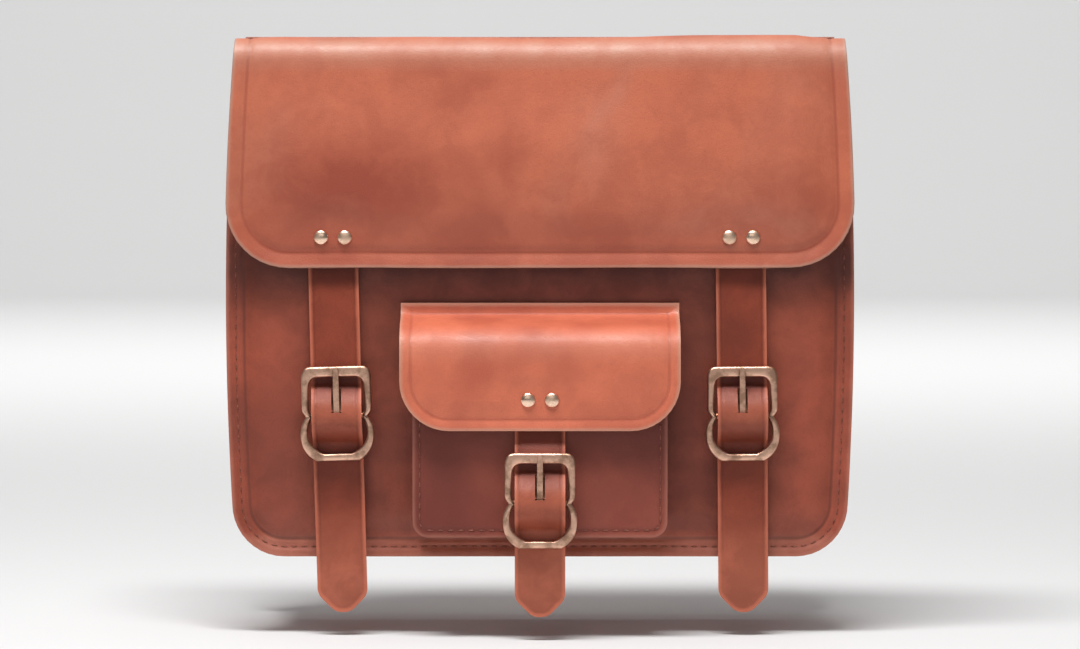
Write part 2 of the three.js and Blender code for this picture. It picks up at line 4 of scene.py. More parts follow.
import bmesh
import bpy
from mathutils import Matrix, Vector, noise
from mathutils.geometry import interpolate_bezier
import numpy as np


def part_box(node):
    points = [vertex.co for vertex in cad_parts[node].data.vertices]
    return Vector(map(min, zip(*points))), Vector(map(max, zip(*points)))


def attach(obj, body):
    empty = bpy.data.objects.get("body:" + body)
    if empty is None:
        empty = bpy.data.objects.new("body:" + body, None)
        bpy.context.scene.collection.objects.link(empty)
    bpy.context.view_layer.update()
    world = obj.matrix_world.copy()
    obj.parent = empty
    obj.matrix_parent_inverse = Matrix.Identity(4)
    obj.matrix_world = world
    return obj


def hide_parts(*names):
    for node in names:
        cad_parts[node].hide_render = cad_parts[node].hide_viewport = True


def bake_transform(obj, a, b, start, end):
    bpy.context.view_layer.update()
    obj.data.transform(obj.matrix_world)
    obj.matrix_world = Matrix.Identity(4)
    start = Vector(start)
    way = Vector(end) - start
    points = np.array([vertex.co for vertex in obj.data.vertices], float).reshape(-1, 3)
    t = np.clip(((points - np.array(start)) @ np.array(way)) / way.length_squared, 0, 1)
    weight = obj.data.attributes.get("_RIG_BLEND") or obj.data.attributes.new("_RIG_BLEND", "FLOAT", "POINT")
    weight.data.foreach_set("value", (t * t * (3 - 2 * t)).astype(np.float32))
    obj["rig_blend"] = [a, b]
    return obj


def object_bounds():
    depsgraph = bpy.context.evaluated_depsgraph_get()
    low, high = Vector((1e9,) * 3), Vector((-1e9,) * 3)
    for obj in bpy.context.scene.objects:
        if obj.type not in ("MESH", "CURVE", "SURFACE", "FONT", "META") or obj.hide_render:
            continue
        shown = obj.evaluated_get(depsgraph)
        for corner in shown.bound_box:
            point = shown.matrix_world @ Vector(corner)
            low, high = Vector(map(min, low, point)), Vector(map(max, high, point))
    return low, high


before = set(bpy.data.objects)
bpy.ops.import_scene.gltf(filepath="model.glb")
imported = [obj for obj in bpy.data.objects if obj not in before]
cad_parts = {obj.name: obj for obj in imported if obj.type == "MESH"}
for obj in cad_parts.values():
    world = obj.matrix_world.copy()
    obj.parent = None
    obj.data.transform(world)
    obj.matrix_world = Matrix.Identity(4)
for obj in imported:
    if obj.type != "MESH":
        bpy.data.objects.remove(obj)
cad_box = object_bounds()

# ---- Camera, floor and light ----
# A long lens looks straight at the bag's front, level with its middle. The bag hangs just over a
# pale floor that curves up into a pale wall, under a large soft lamp from above and a fill in front.

mm = 0.001
middle = (cad_box[0] + cad_box[1]) / 2

camera_data = bpy.data.cameras.new("camera")
camera_data.lens = 160
camera_data.sensor_width = 36
camera = bpy.data.objects.new("camera", camera_data)
camera.location = (middle.x, -2.55, middle.z + 0.10)
look = Vector((middle.x, -0.1, middle.z)) - camera.location
camera.rotation_euler = look.to_track_quat("-Z", "Y").to_euler()
bpy.context.scene.collection.objects.link(camera)
bpy.context.scene.camera = camera
bpy.context.scene.view_settings.view_transform = "Standard"


def grown_verts(grown):
    return [item for item in grown["geom"] if isinstance(item, bmesh.types.BMVert)]


floor_mesh = bmesh.new()
bmesh.ops.create_grid(floor_mesh, x_segments=1, y_segments=1, size=7)
wall_edge = [e for e in floor_mesh.edges if all(v.co.y > 6 for v in e.verts)]
curve_steps = 8
for step in range(curve_steps):
    bend = math.radians(90 * (step + 1) / curve_steps)
    new_verts = grown_verts(bmesh.ops.extrude_edge_only(floor_mesh, edges=wall_edge))
    bmesh.ops.translate(floor_mesh, verts=new_verts, vec=(0, 0.3 * math.cos(bend), 0.3 * math.sin(bend)))
    wall_edge = [e for e in floor_mesh.edges if all(v in new_verts for v in e.verts)]
new_verts = grown_verts(bmesh.ops.extrude_edge_only(floor_mesh, edges=wall_edge))
bmesh.ops.translate(floor_mesh, verts=new_verts, vec=(0, 0, 5))
bmesh.ops.translate(floor_mesh, verts=floor_mesh.verts, vec=(0, -2.2, cad_box[0].z - 12 * mm))
floor_data = bpy.data.meshes.new("floor")
floor_mesh.to_mesh(floor_data)
floor = bpy.data.objects.new("floor", floor_data)
floor_data.polygons.foreach_set("use_smooth", [True] * len(floor_data.polygons))
bpy.context.scene.collection.objects.link(floor)
floor_paint = bpy.data.materials.new("floor_paint")
floor_paint.use_nodes = True
paint_shader = floor_paint.node_tree.nodes["Principled BSDF"]
paint_shader.inputs["Base Color"].default_value = (0.78, 0.78, 0.78, 1)
paint_shader.inputs["Roughness"].default_value = 0.7
floor_data.materials.append(floor_paint)

world = bpy.data.worlds.new("studio")
world.use_nodes = True
room_light = world.node_tree.nodes["Background"]
room_light.inputs["Color"].default_value = (1, 0.985, 0.97, 1)
room_light.inputs["Strength"].default_value = 0.15
bpy.context.scene.world = world


def lamp(name, place, aim, size, power):
    data = bpy.data.lights.new(name, "AREA")
    data.shape = "RECTANGLE"
    data.size, data.size_y = size
    data.energy = power
    made = bpy.data.objects.new(name, data)
    made.location = place
    made.rotation_euler = (Vector(aim) - Vector(place)).to_track_quat("-Z", "Y").to_euler()
    bpy.context.scene.collection.objects.link(made)


lamp("key", (-0.18, -0.66, 1.5), (0, -0.08, 0.02), (1.0, 0.4), 34)
lamp("fill", (-0.15, -1.8, 0.7), (0, -0.1, -0.05), (1.2, 0.8), 2.4)
lamp("top", (0.05, 0.1, 1.35), (0, -0.08, 0.1), (1.0, 0.5), 1.5)
lamp("backdrop", (0, 2.2, 2.6), (0, 4.9, 0.1), (5.0, 2.0), 140)

# ---- Back panel ----
# A flat 3 mm piece of waxed cowhide that carries the whole bag, flesh side in, its cut edges left
# pale. Its lower corners are round and its sides bow a little. It is sewn to the gusset's lip, and a
# thin board behind it keeps it stiff.

def add_socket(group, name, kind, way, value=None):
    made = group.interface.new_socket(name, in_out=way, socket_type=kind)
    if value is not None:
        made.default_value = value


def noise_node(tree, vector, scale, detail, roughness=0.55, distortion=0.0):
    node = tree.nodes.new("ShaderNodeTexNoise")
    node.inputs["Scale"].default_value = scale
    node.inputs["Detail"].default_value = detail
    node.inputs["Roughness"].default_value = roughness
    node.inputs["Distortion"].default_value = distortion
    tree.links.new(vector, node.inputs["Vector"])
    return node.outputs["Fac"]


def band(tree, value, low, high, to_low=0.0, to_high=1.0):
    node = tree.nodes.new("ShaderNodeMapRange")
    node.interpolation_type = "SMOOTHSTEP"
    for name, number in (("From Min", low), ("From Max", high), ("To Min", to_low), ("To Max", to_high)):
        node.inputs[name].default_value = number
    tree.links.new(value, node.inputs["Value"])
    return node.outputs["Result"]


def sums(tree, operation, first, second):
    node = tree.nodes.new("ShaderNodeMath")
    node.operation = operation
    for socket, value in zip(node.inputs, (first, second)):
        if isinstance(value, (int, float)):
            socket.default_value = value
        else:
            tree.links.new(value, socket)
    return node.outputs[0]


def mixed(tree, factor, first, second):
    node = tree.nodes.new("ShaderNodeMix")
    node.data_type = "RGBA"
    for socket, value in ((node.inputs[0], factor), (node.inputs[6], first), (node.inputs[7], second)):
        if isinstance(value, (int, float, tuple)):
            socket.default_value = value
        else:
            tree.links.new(value, socket)
    return node.outputs[2]


def make_hide_group():
    """Waxed cowhide: wax clouds, pores, a dark line pressed along the rim, painted shade, leather pulled
    pale at bends together with painted highlights, and a rim rubbed pale that is partly a painted highlight."""
    group = bpy.data.node_groups.new("waxed_hide", "ShaderNodeTree")
    add_socket(group, "Vector", "NodeSocketVector", "INPUT")
    add_socket(group, "Inset", "NodeSocketFloat", "INPUT", 0.02)
    add_socket(group, "Crease", "NodeSocketFloat", "INPUT", 0.008)
    add_socket(group, "Pull and painted light", "NodeSocketFloat", "INPUT", 0.0)
    add_socket(group, "Colour", "NodeSocketColor", "INPUT", (0.5, 0.2, 0.1, 1))
    # the dark colour also serves as painted shade, and the pale one also as painted highlight
    add_socket(group, "Waxy dark and shade", "NodeSocketColor", "INPUT", (0.3, 0.1, 0.05, 1))
    add_socket(group, "Pulled pale and highlight", "NodeSocketColor", "INPUT", (0.7, 0.3, 0.2, 1))
    add_socket(group, "Clouds", "NodeSocketFloat", "INPUT", 1.0)
    add_socket(group, "Colour", "NodeSocketColor", "OUTPUT")
    add_socket(group, "Roughness", "NodeSocketFloat", "OUTPUT")
    add_socket(group, "Height", "NodeSocketFloat", "OUTPUT")
    given = group.nodes.new("NodeGroupInput").outputs
    result = group.nodes.new("NodeGroupOutput").inputs
    vector = given["Vector"]
    cloud = noise_node(group, vector, 11, 3, 0.5, 0.6)
    patch = noise_node(group, vector, 48, 5, 0.62, 0.3)
    pores = noise_node(group, vector, 900, 3, 0.6)
    wrinkle = noise_node(group, vector, 170, 4, 0.6, 1.4)
    cells = group.nodes.new("ShaderNodeTexVoronoi")
    cells.feature = "DISTANCE_TO_EDGE"
    cells.inputs["Scale"].default_value = 620
    group.links.new(vector, cells.inputs["Vector"])
    # wax clouds, speckle and pores
    dark = sums(group, "MULTIPLY", band(group, cloud, 0.50, 0.33, 0, 0.85), given["Clouds"])
    light = sums(group, "MULTIPLY", band(group, cloud, 0.55, 0.78, 0, 0.3), given["Clouds"])
    colour = mixed(group, dark, given["Colour"], given["Waxy dark and shade"])
    colour = mixed(group, light, colour, given["Pulled pale and highlight"])
    speckle = band(group, patch, 0.34, 0.68, 0, 0.34)
    colour = mixed(group, speckle, colour, given["Waxy dark and shade"])
    pore_dark = band(group, pores, 0.50, 0.30, 0, 0.16)
    colour = mixed(group, pore_dark, colour, given["Waxy dark and shade"])
    # the creased line, then painted shade, then leather pulled pale at bends with painted highlights, then
    # the rim rubbed pale, partly a painted highlight
    from_crease = sums(group, "ABSOLUTE", sums(group, "SUBTRACT", given["Inset"], given["Crease"]), 0)
    colour = mixed(group, band(group, from_crease, 0.0013, 0.0002, 0, 0.5), colour, given["Waxy dark and shade"])
    # painted shade where the value is negative: under flap edges, between straps, behind buckle bars; also
    # the flap's two darker patches
    shade_and_dark_patches = sums(group, "MULTIPLY", given["Pull and painted light"], band(group, patch, 0.3, 0.65, -0.8, -1.1))
    colour = mixed(group, shade_and_dark_patches, colour, given["Waxy dark and shade"])
    # paler where the value is positive: leather pulled pale at bends, partly a painted highlight
    pale_and_highlight = sums(group, "MULTIPLY", given["Pull and painted light"], band(group, patch, 0.3, 0.62, 0.9, 0.55))
    colour = mixed(group, pale_and_highlight, colour, given["Pulled pale and highlight"])
    ragged = sums(group, "ADD", given["Inset"], sums(group, "MULTIPLY", patch, 0.0016))
    # the rim rubbed pale, which also stands in for a highlight along the edges
    rubbed_and_highlight = band(group, ragged, 0.0032, 0.0010, 0, 0.62)
    colour = mixed(group, rubbed_and_highlight, colour, given["Pulled pale and highlight"])
    group.links.new(colour, result["Colour"])
    rough = band(group, patch, 0.3, 0.7, 0.40, 0.54)
    rough = sums(group, "ADD", rough, band(group, pores, 0.3, 0.7, 0.0, 0.08))
    group.links.new(rough, result["Roughness"])
    pebble = band(group, cells.outputs["Distance"], 0.0, 0.16, 0, 0.5)
    height = sums(group, "ADD", pebble, sums(group, "MULTIPLY", wrinkle, 0.9))
    height = sums(group, "ADD", height, sums(group, "MULTIPLY", pores, 0.35))
    group.links.new(height, result["Height"])
    return group


hide_group = make_hide_group()


def new_material(name):
    material = bpy.data.materials.new(name)
    material.use_nodes = True
    tree = material.node_tree
    where = tree.nodes.new("ShaderNodeTexCoord").outputs["Object"]
    return material, tree, tree.nodes["Principled BSDF"], where


def bump(tree, shader, height, strength, distance):
    node = tree.nodes.new("ShaderNodeBump")
    node.inputs["Strength"].default_value = strength
    node.inputs["Distance"].default_value = distance
    tree.links.new(height, node.inputs["Height"])
    tree.links.new(node.outputs["Normal"], shader.inputs["Normal"])


def grain_side(name, colour, dark, light, crease, clouds=1.0, shine=0.42):
    material, tree, shader, where = new_material(name)
    hide = tree.nodes.new("ShaderNodeGroup")
    hide.node_tree = hide_group
    tree.links.new(where, hide.inputs["Vector"])
    for name_of, socket in (("inset", "Inset"), ("pull_and_painted_light", "Pull and painted light")):
        stored = tree.nodes.new("ShaderNodeAttribute")
        stored.attribute_name = name_of
        tree.links.new(stored.outputs["Fac"], hide.inputs[socket])
    for socket, value in (("Colour", colour), ("Waxy dark and shade", dark), ("Pulled pale and highlight", light)):
        hide.inputs[socket].default_value = (*value, 1)
    hide.inputs["Clouds"].default_value = clouds
    hide.inputs["Crease"].default_value = crease
    tree.links.new(hide.outputs["Colour"], shader.inputs["Base Color"])
    tree.links.new(hide.outputs["Roughness"], shader.inputs["Roughness"])
    bump(tree, shader, hide.outputs["Height"], 0.42, 0.16 * mm)
    shader.inputs["Specular IOR Level"].default_value = shine
    shader.inputs["Coat Weight"].default_value = 0.24 * shine
    shader.inputs["Coat Roughness"].default_value = 0.35
    return material


def cut_side(name, colour, dark, rough, fibre_scale):
    material, tree, shader, where = new_material(name)
    fibre = noise_node(tree, where, fibre_scale, 5, 0.7)
    blotch = noise_node(tree, where, 60, 3, 0.5)
    tone = mixed(tree, band(tree, fibre, 0.35, 0.66), (*dark, 1), (*colour, 1))
    tone = mixed(tree, band(tree, blotch, 0.42, 0.7, 0, 0.4), tone, (*dark, 1))
    tree.links.new(tone, shader.inputs["Base Color"])
    tree.links.new(band(tree, blotch, 0.3, 0.7, rough - 0.08, rough + 0.08), shader.inputs["Roughness"])
    bump(tree, shader, fibre, 0.6, 0.25 * mm)
    return material


# Its dark colour is set deep to serve as the painted shade under the flap's edge, and its wax clouds are
# turned down to match.
body_grain = grain_side(
    "body_grain", (0.37, 0.075, 0.037), (0.10, 0.017, 0.009), (0.47, 0.165, 0.11), 9.2 * mm, 0.5,
)
raw_edge = cut_side("raw_edge", (0.50, 0.235, 0.165), (0.33, 0.125, 0.085), 0.55, 700)
flesh_side = cut_side("flesh_side", (0.46, 0.27, 0.17), (0.33, 0.175, 0.10), 0.92, 420)
body_leathers = [body_grain, flesh_side, raw_edge]


def cut_leather(width, length, low_radius, high_radius, rings, across, along, clipped=False):
    """Cuts a flat piece, x across and y from 0 at its top down to -length, with lines scored round it
    at each ring's distance in from the edge, and across and along it wherever it has to bend."""
    hide = bmesh.new()
    inset = hide.verts.layers.float.new("inset")
    bmesh.ops.create_grid(hide, x_segments=1, y_segments=1, size=0.5)
    bmesh.ops.scale(hide, vec=(width, length, 1), verts=hide.verts)
    bmesh.ops.translate(hide, vec=(0, -length / 2, 0), verts=hide.verts)
    for radius, low in ((low_radius, True), (high_radius, False)):
        corners = [v for v in hide.verts if (v.co.y < -length / 2) == low]
        if radius:
            bmesh.ops.bevel(
                hide, geom=corners, offset=radius, offset_type="OFFSET", profile=0.5,
                segments=1 if clipped and low else 10, affect="VERTICES", material=-1,
            )
    if clipped:
        bmesh.ops.bevel(
            hide, geom=[v for v in hide.verts if v.co.y < -length / 2], offset=2.8 * mm,
            offset_type="OFFSET", segments=5, profile=0.5, affect="VERTICES", material=-1,
        )
    hide.faces.ensure_lookup_table()
    inner = hide.faces[0]
    lines = {0: [v.co.copy() for v in inner.verts]}
    reached = 0
    for ring in rings:
        bmesh.ops.inset_region(
            hide, faces=[inner], thickness=ring - reached, use_even_offset=True, use_boundary=True,
        )
        reached = ring
        for vert in inner.verts:
            vert[inset] = ring
        lines[ring] = [v.co.copy() for v in inner.verts]
    scores = [((x, 0, 0), (1, 0, 0)) for x in across]
    scores += [((0, -y, 0), (0, 1, 0)) for y in along]
    for score, normal in scores:
        everything = hide.verts[:] + hide.edges[:] + hide.faces[:]
        bmesh.ops.bisect_plane(hide, geom=everything, dist=0.01 * mm, plane_co=score, plane_no=normal)
    return hide, lines


def evenly(start, stop, step):
    count = max(1, round((stop - start) / step))
    return [start + (stop - start) * i / count for i in range(1, count)]


def smooth_step(value, low, high):
    t = min(max((value - low) / (high - low), 0.0), 1.0)
    return t * t * (3 - 2 * t)


def hump(value, centre, reach):
    """1 at the centre, easing to 0 this far either side."""
    return smooth_step(abs(value - centre), reach, 0)


def groove(inset, line, width, depth):
    """How far a pressed line sinks the grain side at this distance in from the edge."""
    return -depth * max(0.0, 1 - abs(inset - line) / width)


def keep_piece(name, shape, materials):
    data = bpy.data.meshes.new(name)
    shape.to_mesh(data)
    shape.free()
    data.polygons.foreach_set("use_smooth", [True] * len(data.polygons))
    for material in materials:
        data.materials.append(material)
    piece = bpy.data.objects.new(name, data)
    bpy.context.scene.collection.objects.link(piece)
    return piece


def sheet_of_leather(
    name, hide, place, thickness, materials, offset=-1.0, edge=0.45 * mm, pull_and_painted_light_at=None,
):
    """Lays the cut piece in place, grain side first, and gives it its thickness and softened edges.
    Its last argument says where the grain is paler (up to 1), from bending and from painted highlights, and
    where painted shade, and on the flap two darker patches, darken it (to -1)."""
    inset = hide.verts.layers.float["inset"]
    # a value at each corner for paleness and for painted light and shade, read by the leather materials
    pull_and_painted_light = hide.verts.layers.float.new("pull_and_painted_light")
    for vert in hide.verts:
        vert[pull_and_painted_light] = pull_and_painted_light_at(vert.co.x, -vert.co.y) if pull_and_painted_light_at else 0.0
        vert.co = place(vert.co.x, -vert.co.y, vert[inset])
    hide.normal_update()
    piece = keep_piece(name, hide, materials)
    solid = piece.modifiers.new("thickness", "SOLIDIFY")
    solid.thickness = thickness
    solid.offset = offset
    solid.use_even_offset = False
    solid.material_offset = 1
    solid.material_offset_rim = 2
    round_off = piece.modifiers.new("edge", "BEVEL")
    round_off.width = edge
    round_off.segments = 2
    round_off.limit_method = "ANGLE"
    round_off.angle_limit = math.radians(70)
    round_off.harden_normals = True
    return piece


def stitches(name, lines, place, closed=True):
    """Waxed thread along flat lines (x, y), each stitch a short plump bead lying in its groove."""
    spacing, length, thick = 5.2 * mm, 3.6 * mm, 0.85 * mm
    sewn = bmesh.new()
    for line in lines:
        points = [Vector(p) for p in line]
        if closed:
            points.append(points[0])
        left = spacing / 2
        for start, end in zip(points, points[1:]):
            run = (end - start).length
            while left < run:
                at = start.lerp(end, left / run)
                step = (end - start).normalized() * length / 2
                left += spacing
                tail, head = place(*(at - step).xy), place(*(at + step).xy)
                side = place(*(at + Vector((-step.y, step.x, 0))).xy) - place(*at.xy)
                along = (head - tail).normalized()
                out = along.cross(side).normalized()
                turn = Matrix((along, out.cross(along), out)).transposed().to_4x4()
                size = Matrix.Diagonal((length / 2, thick / 2, thick / 2, 1))
                lie = Matrix.Translation((tail + head) / 2) @ turn @ size
                bmesh.ops.create_uvsphere(sewn, u_segments=6, v_segments=5, radius=1, matrix=lie)
            left -= run
    bmesh.ops.recalc_face_normals(sewn, faces=sewn.faces)
    return keep_piece(name, sewn, [thread])


def fibrous(name, fibres, dark, light, rough, strength, depth):
    material, tree, shader, where = new_material(name)
    fibre = noise_node(tree, where, *fibres)
    tone = mixed(tree, band(tree, fibre, 0.35, 0.65), (*dark, 1), (*light, 1))
    tree.links.new(tone, shader.inputs["Base Color"])
    shader.inputs["Roughness"].default_value = rough
    bump(tree, shader, fibre, strength, depth)
    return material


thread = fibrous(
    "waxed_thread", (1500, 2, 0.5), (0.15, 0.036, 0.02), (0.29, 0.088, 0.05), 0.6, 0.5, 0.1 * mm,
)

body_width = 320 * mm
body_corner = 27 * mm
leather = 3 * mm
seam_line = 5 * mm
back_low, back_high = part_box("back_panel")


def body_bow(z):
    """How much of its full width the body has at this height, narrowest at the top."""
    top, height = 129 * mm, 234 * mm
    top_half, pulled_half, low_half = 155 * mm, 164 * mm, 157 * mm
    t = min(max((top - z) / height, 0), 1)
    half = (1 - t) ** 2 * top_half + 2 * t * (1 - t) * pulled_half + t * t * low_half
    return half / (body_width / 2)


def on_back(x, down, inset):
    z = back_high.z - down
    ripple = noise.noise(Vector((x * 15, 5.2, z * 15))) * 0.25 * mm
    sunk = groove(inset, seam_line, 1.5 * mm, 0.5 * mm)
    return Vector((-x * body_bow(z), back_high.y + ripple + sunk, z))


back_length = back_high.z - back_low.z
back_hide, back_lines = cut_leather(
    body_width, back_length, body_corner, 0, [0.8 * mm, 2.5 * mm, 3.8 * mm, seam_line, 6.2 * mm, 9 * mm],
    evenly(-151 * mm, 151 * mm, 12 * mm), evenly(5 * mm, back_length - 5 * mm, 12 * mm),
)
back_panel = sheet_of_leather("back_panel_leather", back_hide, on_back, leather, body_leathers)
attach(back_panel, "bag")
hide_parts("back_panel")


def sewn_round(line, top):
    """The part of a closed line that runs down one side, round the bottom and up the other side."""
    low = [i for i, p in enumerate(line) if p.y < -20 * mm and line[i - 1].y >= -20 * mm]
    turned = line[low[0]:] + line[:low[0]]
    kept = [p.copy() for p in turned if p.y < -20 * mm]
    start, end = kept[0].copy(), kept[-1].copy()
    start.y = end.y = -top
    return [start] + kept + [end]


back_seam = stitches(
    "back_panel_seam", [sewn_round(back_lines[seam_line], 34 * mm)],
    lambda x, y: on_back(x, -y, seam_line) + Vector((0, 0.3 * mm, 0)), closed=False,
)
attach(back_seam, "bag")

board = fibrous(
    "grey_board", (500, 4, 0.6), (0.10, 0.085, 0.07), (0.19, 0.165, 0.14), 0.85, 0.4, 0.2 * mm,
)
for name in ("back_stiffener", "base_board"):
    stiff = bpy.data.objects[name]
    stiff.data.materials.clear()
    stiff.data.materials.append(board)

# ---- Wear patch ----
# An oblong of darker leather sewn to the middle of the back panel, where the bag rests on the
# motorcycle. It takes the rubbing and sets the bag's mounting face.

# Its dark colour is set deep for the painted shadow behind the buckles' top bars, and its pale colour also
# serves as painted highlight on the crown and the tails.
strap_grain = grain_side(
    "strap_grain", (0.36, 0.069, 0.033), (0.10, 0.017, 0.009), (0.60, 0.18, 0.105), 2.3 * mm, 0.6, 0.24,
)
strap_leathers = [strap_grain, flesh_side, raw_edge]
patch_low, patch_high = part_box("wear_patch")
patch_width = patch_high.x - patch_low.x
patch_length = patch_high.z - patch_low.z


def on_patch(x, down, inset):
    sunk = groove(inset, 4 * mm, 1.4 * mm, 0.4 * mm)
    return Vector((-x, patch_high.y + sunk, patch_high.z - down))


patch_hide, patch_lines = cut_leather(
    patch_width, patch_length, 8 * mm, 8 * mm, [0.8 * mm, 2.6 * mm, 4 * mm, 5.4 * mm],
    evenly(-55 * mm, 55 * mm, 14 * mm), evenly(0, patch_length, 14 * mm),
)
wear_patch = sheet_of_leather("wear_patch_leather", patch_hide, on_patch, 2.4 * mm, strap_leathers)
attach(wear_patch, "bag")
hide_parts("wear_patch")

patch_seam = stitches(
    "wear_patch_seam", [patch_lines[4 * mm]],
    lambda x, y: on_patch(x, -y, 4 * mm) + Vector((0, 0.2 * mm, 0)),
)
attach(patch_seam, "bag")

# ---- Gusset ----
# One long band that goes down one side, under the bag and up the other. Both its edges turn out
# into lips, sewn flesh to flesh against the panels, so the seams stand round the bag as a rim.

gusset_low, gusset_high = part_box("gusset")
lip_width = 8 * mm
lip_bend = 2.5 * mm
band_thickness = 2 * mm


def along_u(run, half, top, bottom, radius, inset):
    """A point of a U with round lower corners, this far along it from its top left end."""
    side = top - bottom - radius
    corner = radius * math.pi / 2
    floor_run = 2 * (half - radius)
    mirror = 1
    if run > side + corner + floor_run / 2:
        run, mirror = 2 * (side + corner) + floor_run - run, -1
    if run < side:
        return Vector((-(half - inset) * mirror, 0, top - run))
    if run < side + corner:
        turn = (run - side) / radius
        x = -(half - radius) - (radius - inset) * math.cos(turn)
        return Vector((x * mirror, 0, bottom + radius - (radius - inset) * math.sin(turn)))
    return Vector(((-(half - radius) + run - side - corner) * mirror, 0, bottom + inset))


def u_scores(half, top, bottom, radius, step):
    side = top - bottom - radius
    corner = radius * math.pi / 2
    floor_run = 2 * (half - radius)
    marks = [0, side, side + corner, side + corner + floor_run, side + 2 * corner + floor_run]
    length = 2 * (side + corner) + floor_run
    lines = marks[1:]
    gaps = (step, corner / 10, step, corner / 10, step)
    for start, end, gap in zip(marks, marks[1:] + [length], gaps):
        lines += evenly(start, end, gap)
    return length, lines


gusset_front, gusset_back = gusset_low.y + band_thickness, gusset_high.y - band_thickness
bend_run = lip_bend * math.pi / 2
gusset_half = lip_width - lip_bend + bend_run + (gusset_back - gusset_front) / 2 - lip_bend
gusset_u = (body_width / 2, gusset_high.z, gusset_low.z, body_corner)
gusset_length, gusset_scores = u_scores(*gusset_u, 9 * mm)


def on_gusset(x, run, inset):
    edge = gusset_half - abs(x)
    lip = lip_width - lip_bend
    turn = min(max((edge - lip) / lip_bend, 0), math.pi / 2)
    depth = lip_bend * (1 - math.cos(turn)) + max(edge - lip - bend_run, 0)
    inwards = min(edge, lip) + lip_bend * math.sin(turn)
    middle_share = min(max(depth - lip_bend, 0) / (gusset_half - 12 * mm), 1)
    inwards += math.sin(middle_share * math.pi / 2) * 1.1 * mm
    inwards += middle_share * noise.noise(Vector((run * 14, x * 20, 2.2))) * 0.5 * mm
    point = along_u(run, *gusset_u, inwards)
    point.x *= body_bow(point.z)
    point.y = gusset_front + depth if x > 0 else gusset_back - depth
    return point


gusset_bends = [lip_width - lip_bend + bend_run * i / 5 for i in range(6)]
gusset_across = [side * (gusset_half - bend) for side in (-1, 1) for bend in gusset_bends]
gusset_across += evenly(-gusset_half + 12 * mm, gusset_half - 12 * mm, 8 * mm)
gusset_hide, _ = cut_leather(
    2 * gusset_half, gusset_length, 0, 0, [0.7 * mm, 2 * mm], gusset_across, gusset_scores,
)
gusset = sheet_of_leather("gusset_leather", gusset_hide, on_gusset, band_thickness, body_leathers)
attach(gusset, "bag")
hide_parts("gusset")

# ---- Front panel ----
# One 3 mm piece with a flat rim, sewn to the gusset's lip, that swells forward inside the seam.
# It is narrower at the top and its rim ripples and flares at the bottom. Painted shade darkens it
# under the flap's edge and between the straps, and a painted highlight lies along its low rim.

front_low, front_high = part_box("front_panel")
rim_back = 4 * mm


def on_front(x, down, inset):
    z = front_high.z - down
    rise = smooth_step(inset, 8.6 * mm, 21 * mm)
    lumps = noise.noise(Vector((x * 13, 3.1, z * 12))) * 1.2 * mm - 0.5 * mm
    ripple = noise.noise(Vector((x * 26, 1.7, z * 26))) * 0.7 * mm
    flare = 1.3 * mm * smooth_step(inset, 8 * mm, 0) * smooth_step(z, -70 * mm, -95 * mm)
    out = rise * (rim_back + lumps) + (1 - rise) * ripple + flare
    out += groove(inset, seam_line, 1.3 * mm, 0.7 * mm) + groove(inset, 9.2 * mm, 2 * mm, 1.0 * mm)
    return Vector((x * body_bow(z), front_low.y + rim_back - out, z))


front_length = front_high.z - front_low.z
front_rings = [0.8, 2.2, 3.7, 5, 6.3, 7.7, 9.2, 11, 14, 18, 24]
front_hide, front_lines = cut_leather(
    body_width, front_length, body_corner, 0, [ring * mm for ring in front_rings],
    evenly(-137 * mm, 137 * mm, 7 * mm), evenly(22 * mm, front_length - 22 * mm, 7 * mm),
)


def front_painted_light(x, down):
    """Painted shade, deepest where the flap's edge lies on it and lighter between the straps, and a painted
    highlight along the low rim.
    """
    flap_edge_shade = 0.95 * smooth_step(down, 134 * mm, 112 * mm) - 0.5 * smooth_step(down, 110 * mm, 82 * mm)
    shaded = 0.38 * smooth_step(abs(x), 112 * mm, 90 * mm)
    # painted highlight along the low rim, which faces up to the lamp
    rim = 0.75 * smooth_step(down, front_length - 13 * mm, front_length - 8 * mm)
    return rim - max(flap_edge_shade, shaded) * (1 - rim)


front_panel = sheet_of_leather(
    "front_panel_leather", front_hide, on_front, leather, body_leathers, pull_and_painted_light_at=front_painted_light,
)
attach(front_panel, "bag")
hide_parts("front_panel")

front_seam = stitches(
    "front_panel_seam", [sewn_round(front_lines[seam_line], 8 * mm)],
    lambda x, y: on_front(x, -y, seam_line) + Vector((0, -0.3 * mm, 0)), closed=False,
)
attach(front_seam, "bag")

# ---- Front pocket ----
# A box pocket of thinner leather on the front panel: a band round its sides and bottom, and a
# front piece sewn on close to the edge. Its mouth is open at the top, under its own flap.

# This leather is darker than the body's partly as painted shade from the pocket flap above it.
pocket_grain = grain_side(
    "pocket_grain", (0.28, 0.062, 0.039), (0.16, 0.032, 0.021), (0.38, 0.14, 0.10), 3.6 * mm, 1.0, 0.32,
)
pocket_leathers = [pocket_grain, flesh_side, raw_edge]
pocket_low, pocket_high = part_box("pocket_front")
pocket_band_low, pocket_band_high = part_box("pocket_gusset")
pocket_half = pocket_high.x
pocket_wall = 2.5 * mm
pocket_corner = 8 * mm
pocket_seam_line = 3.6 * mm
pocket_u = (pocket_half, pocket_high.z, pocket_low.z, pocket_corner)
pocket_run, pocket_scores = u_scores(*pocket_u, 9 * mm)
pocket_deep = pocket_band_high.y - pocket_band_low.y


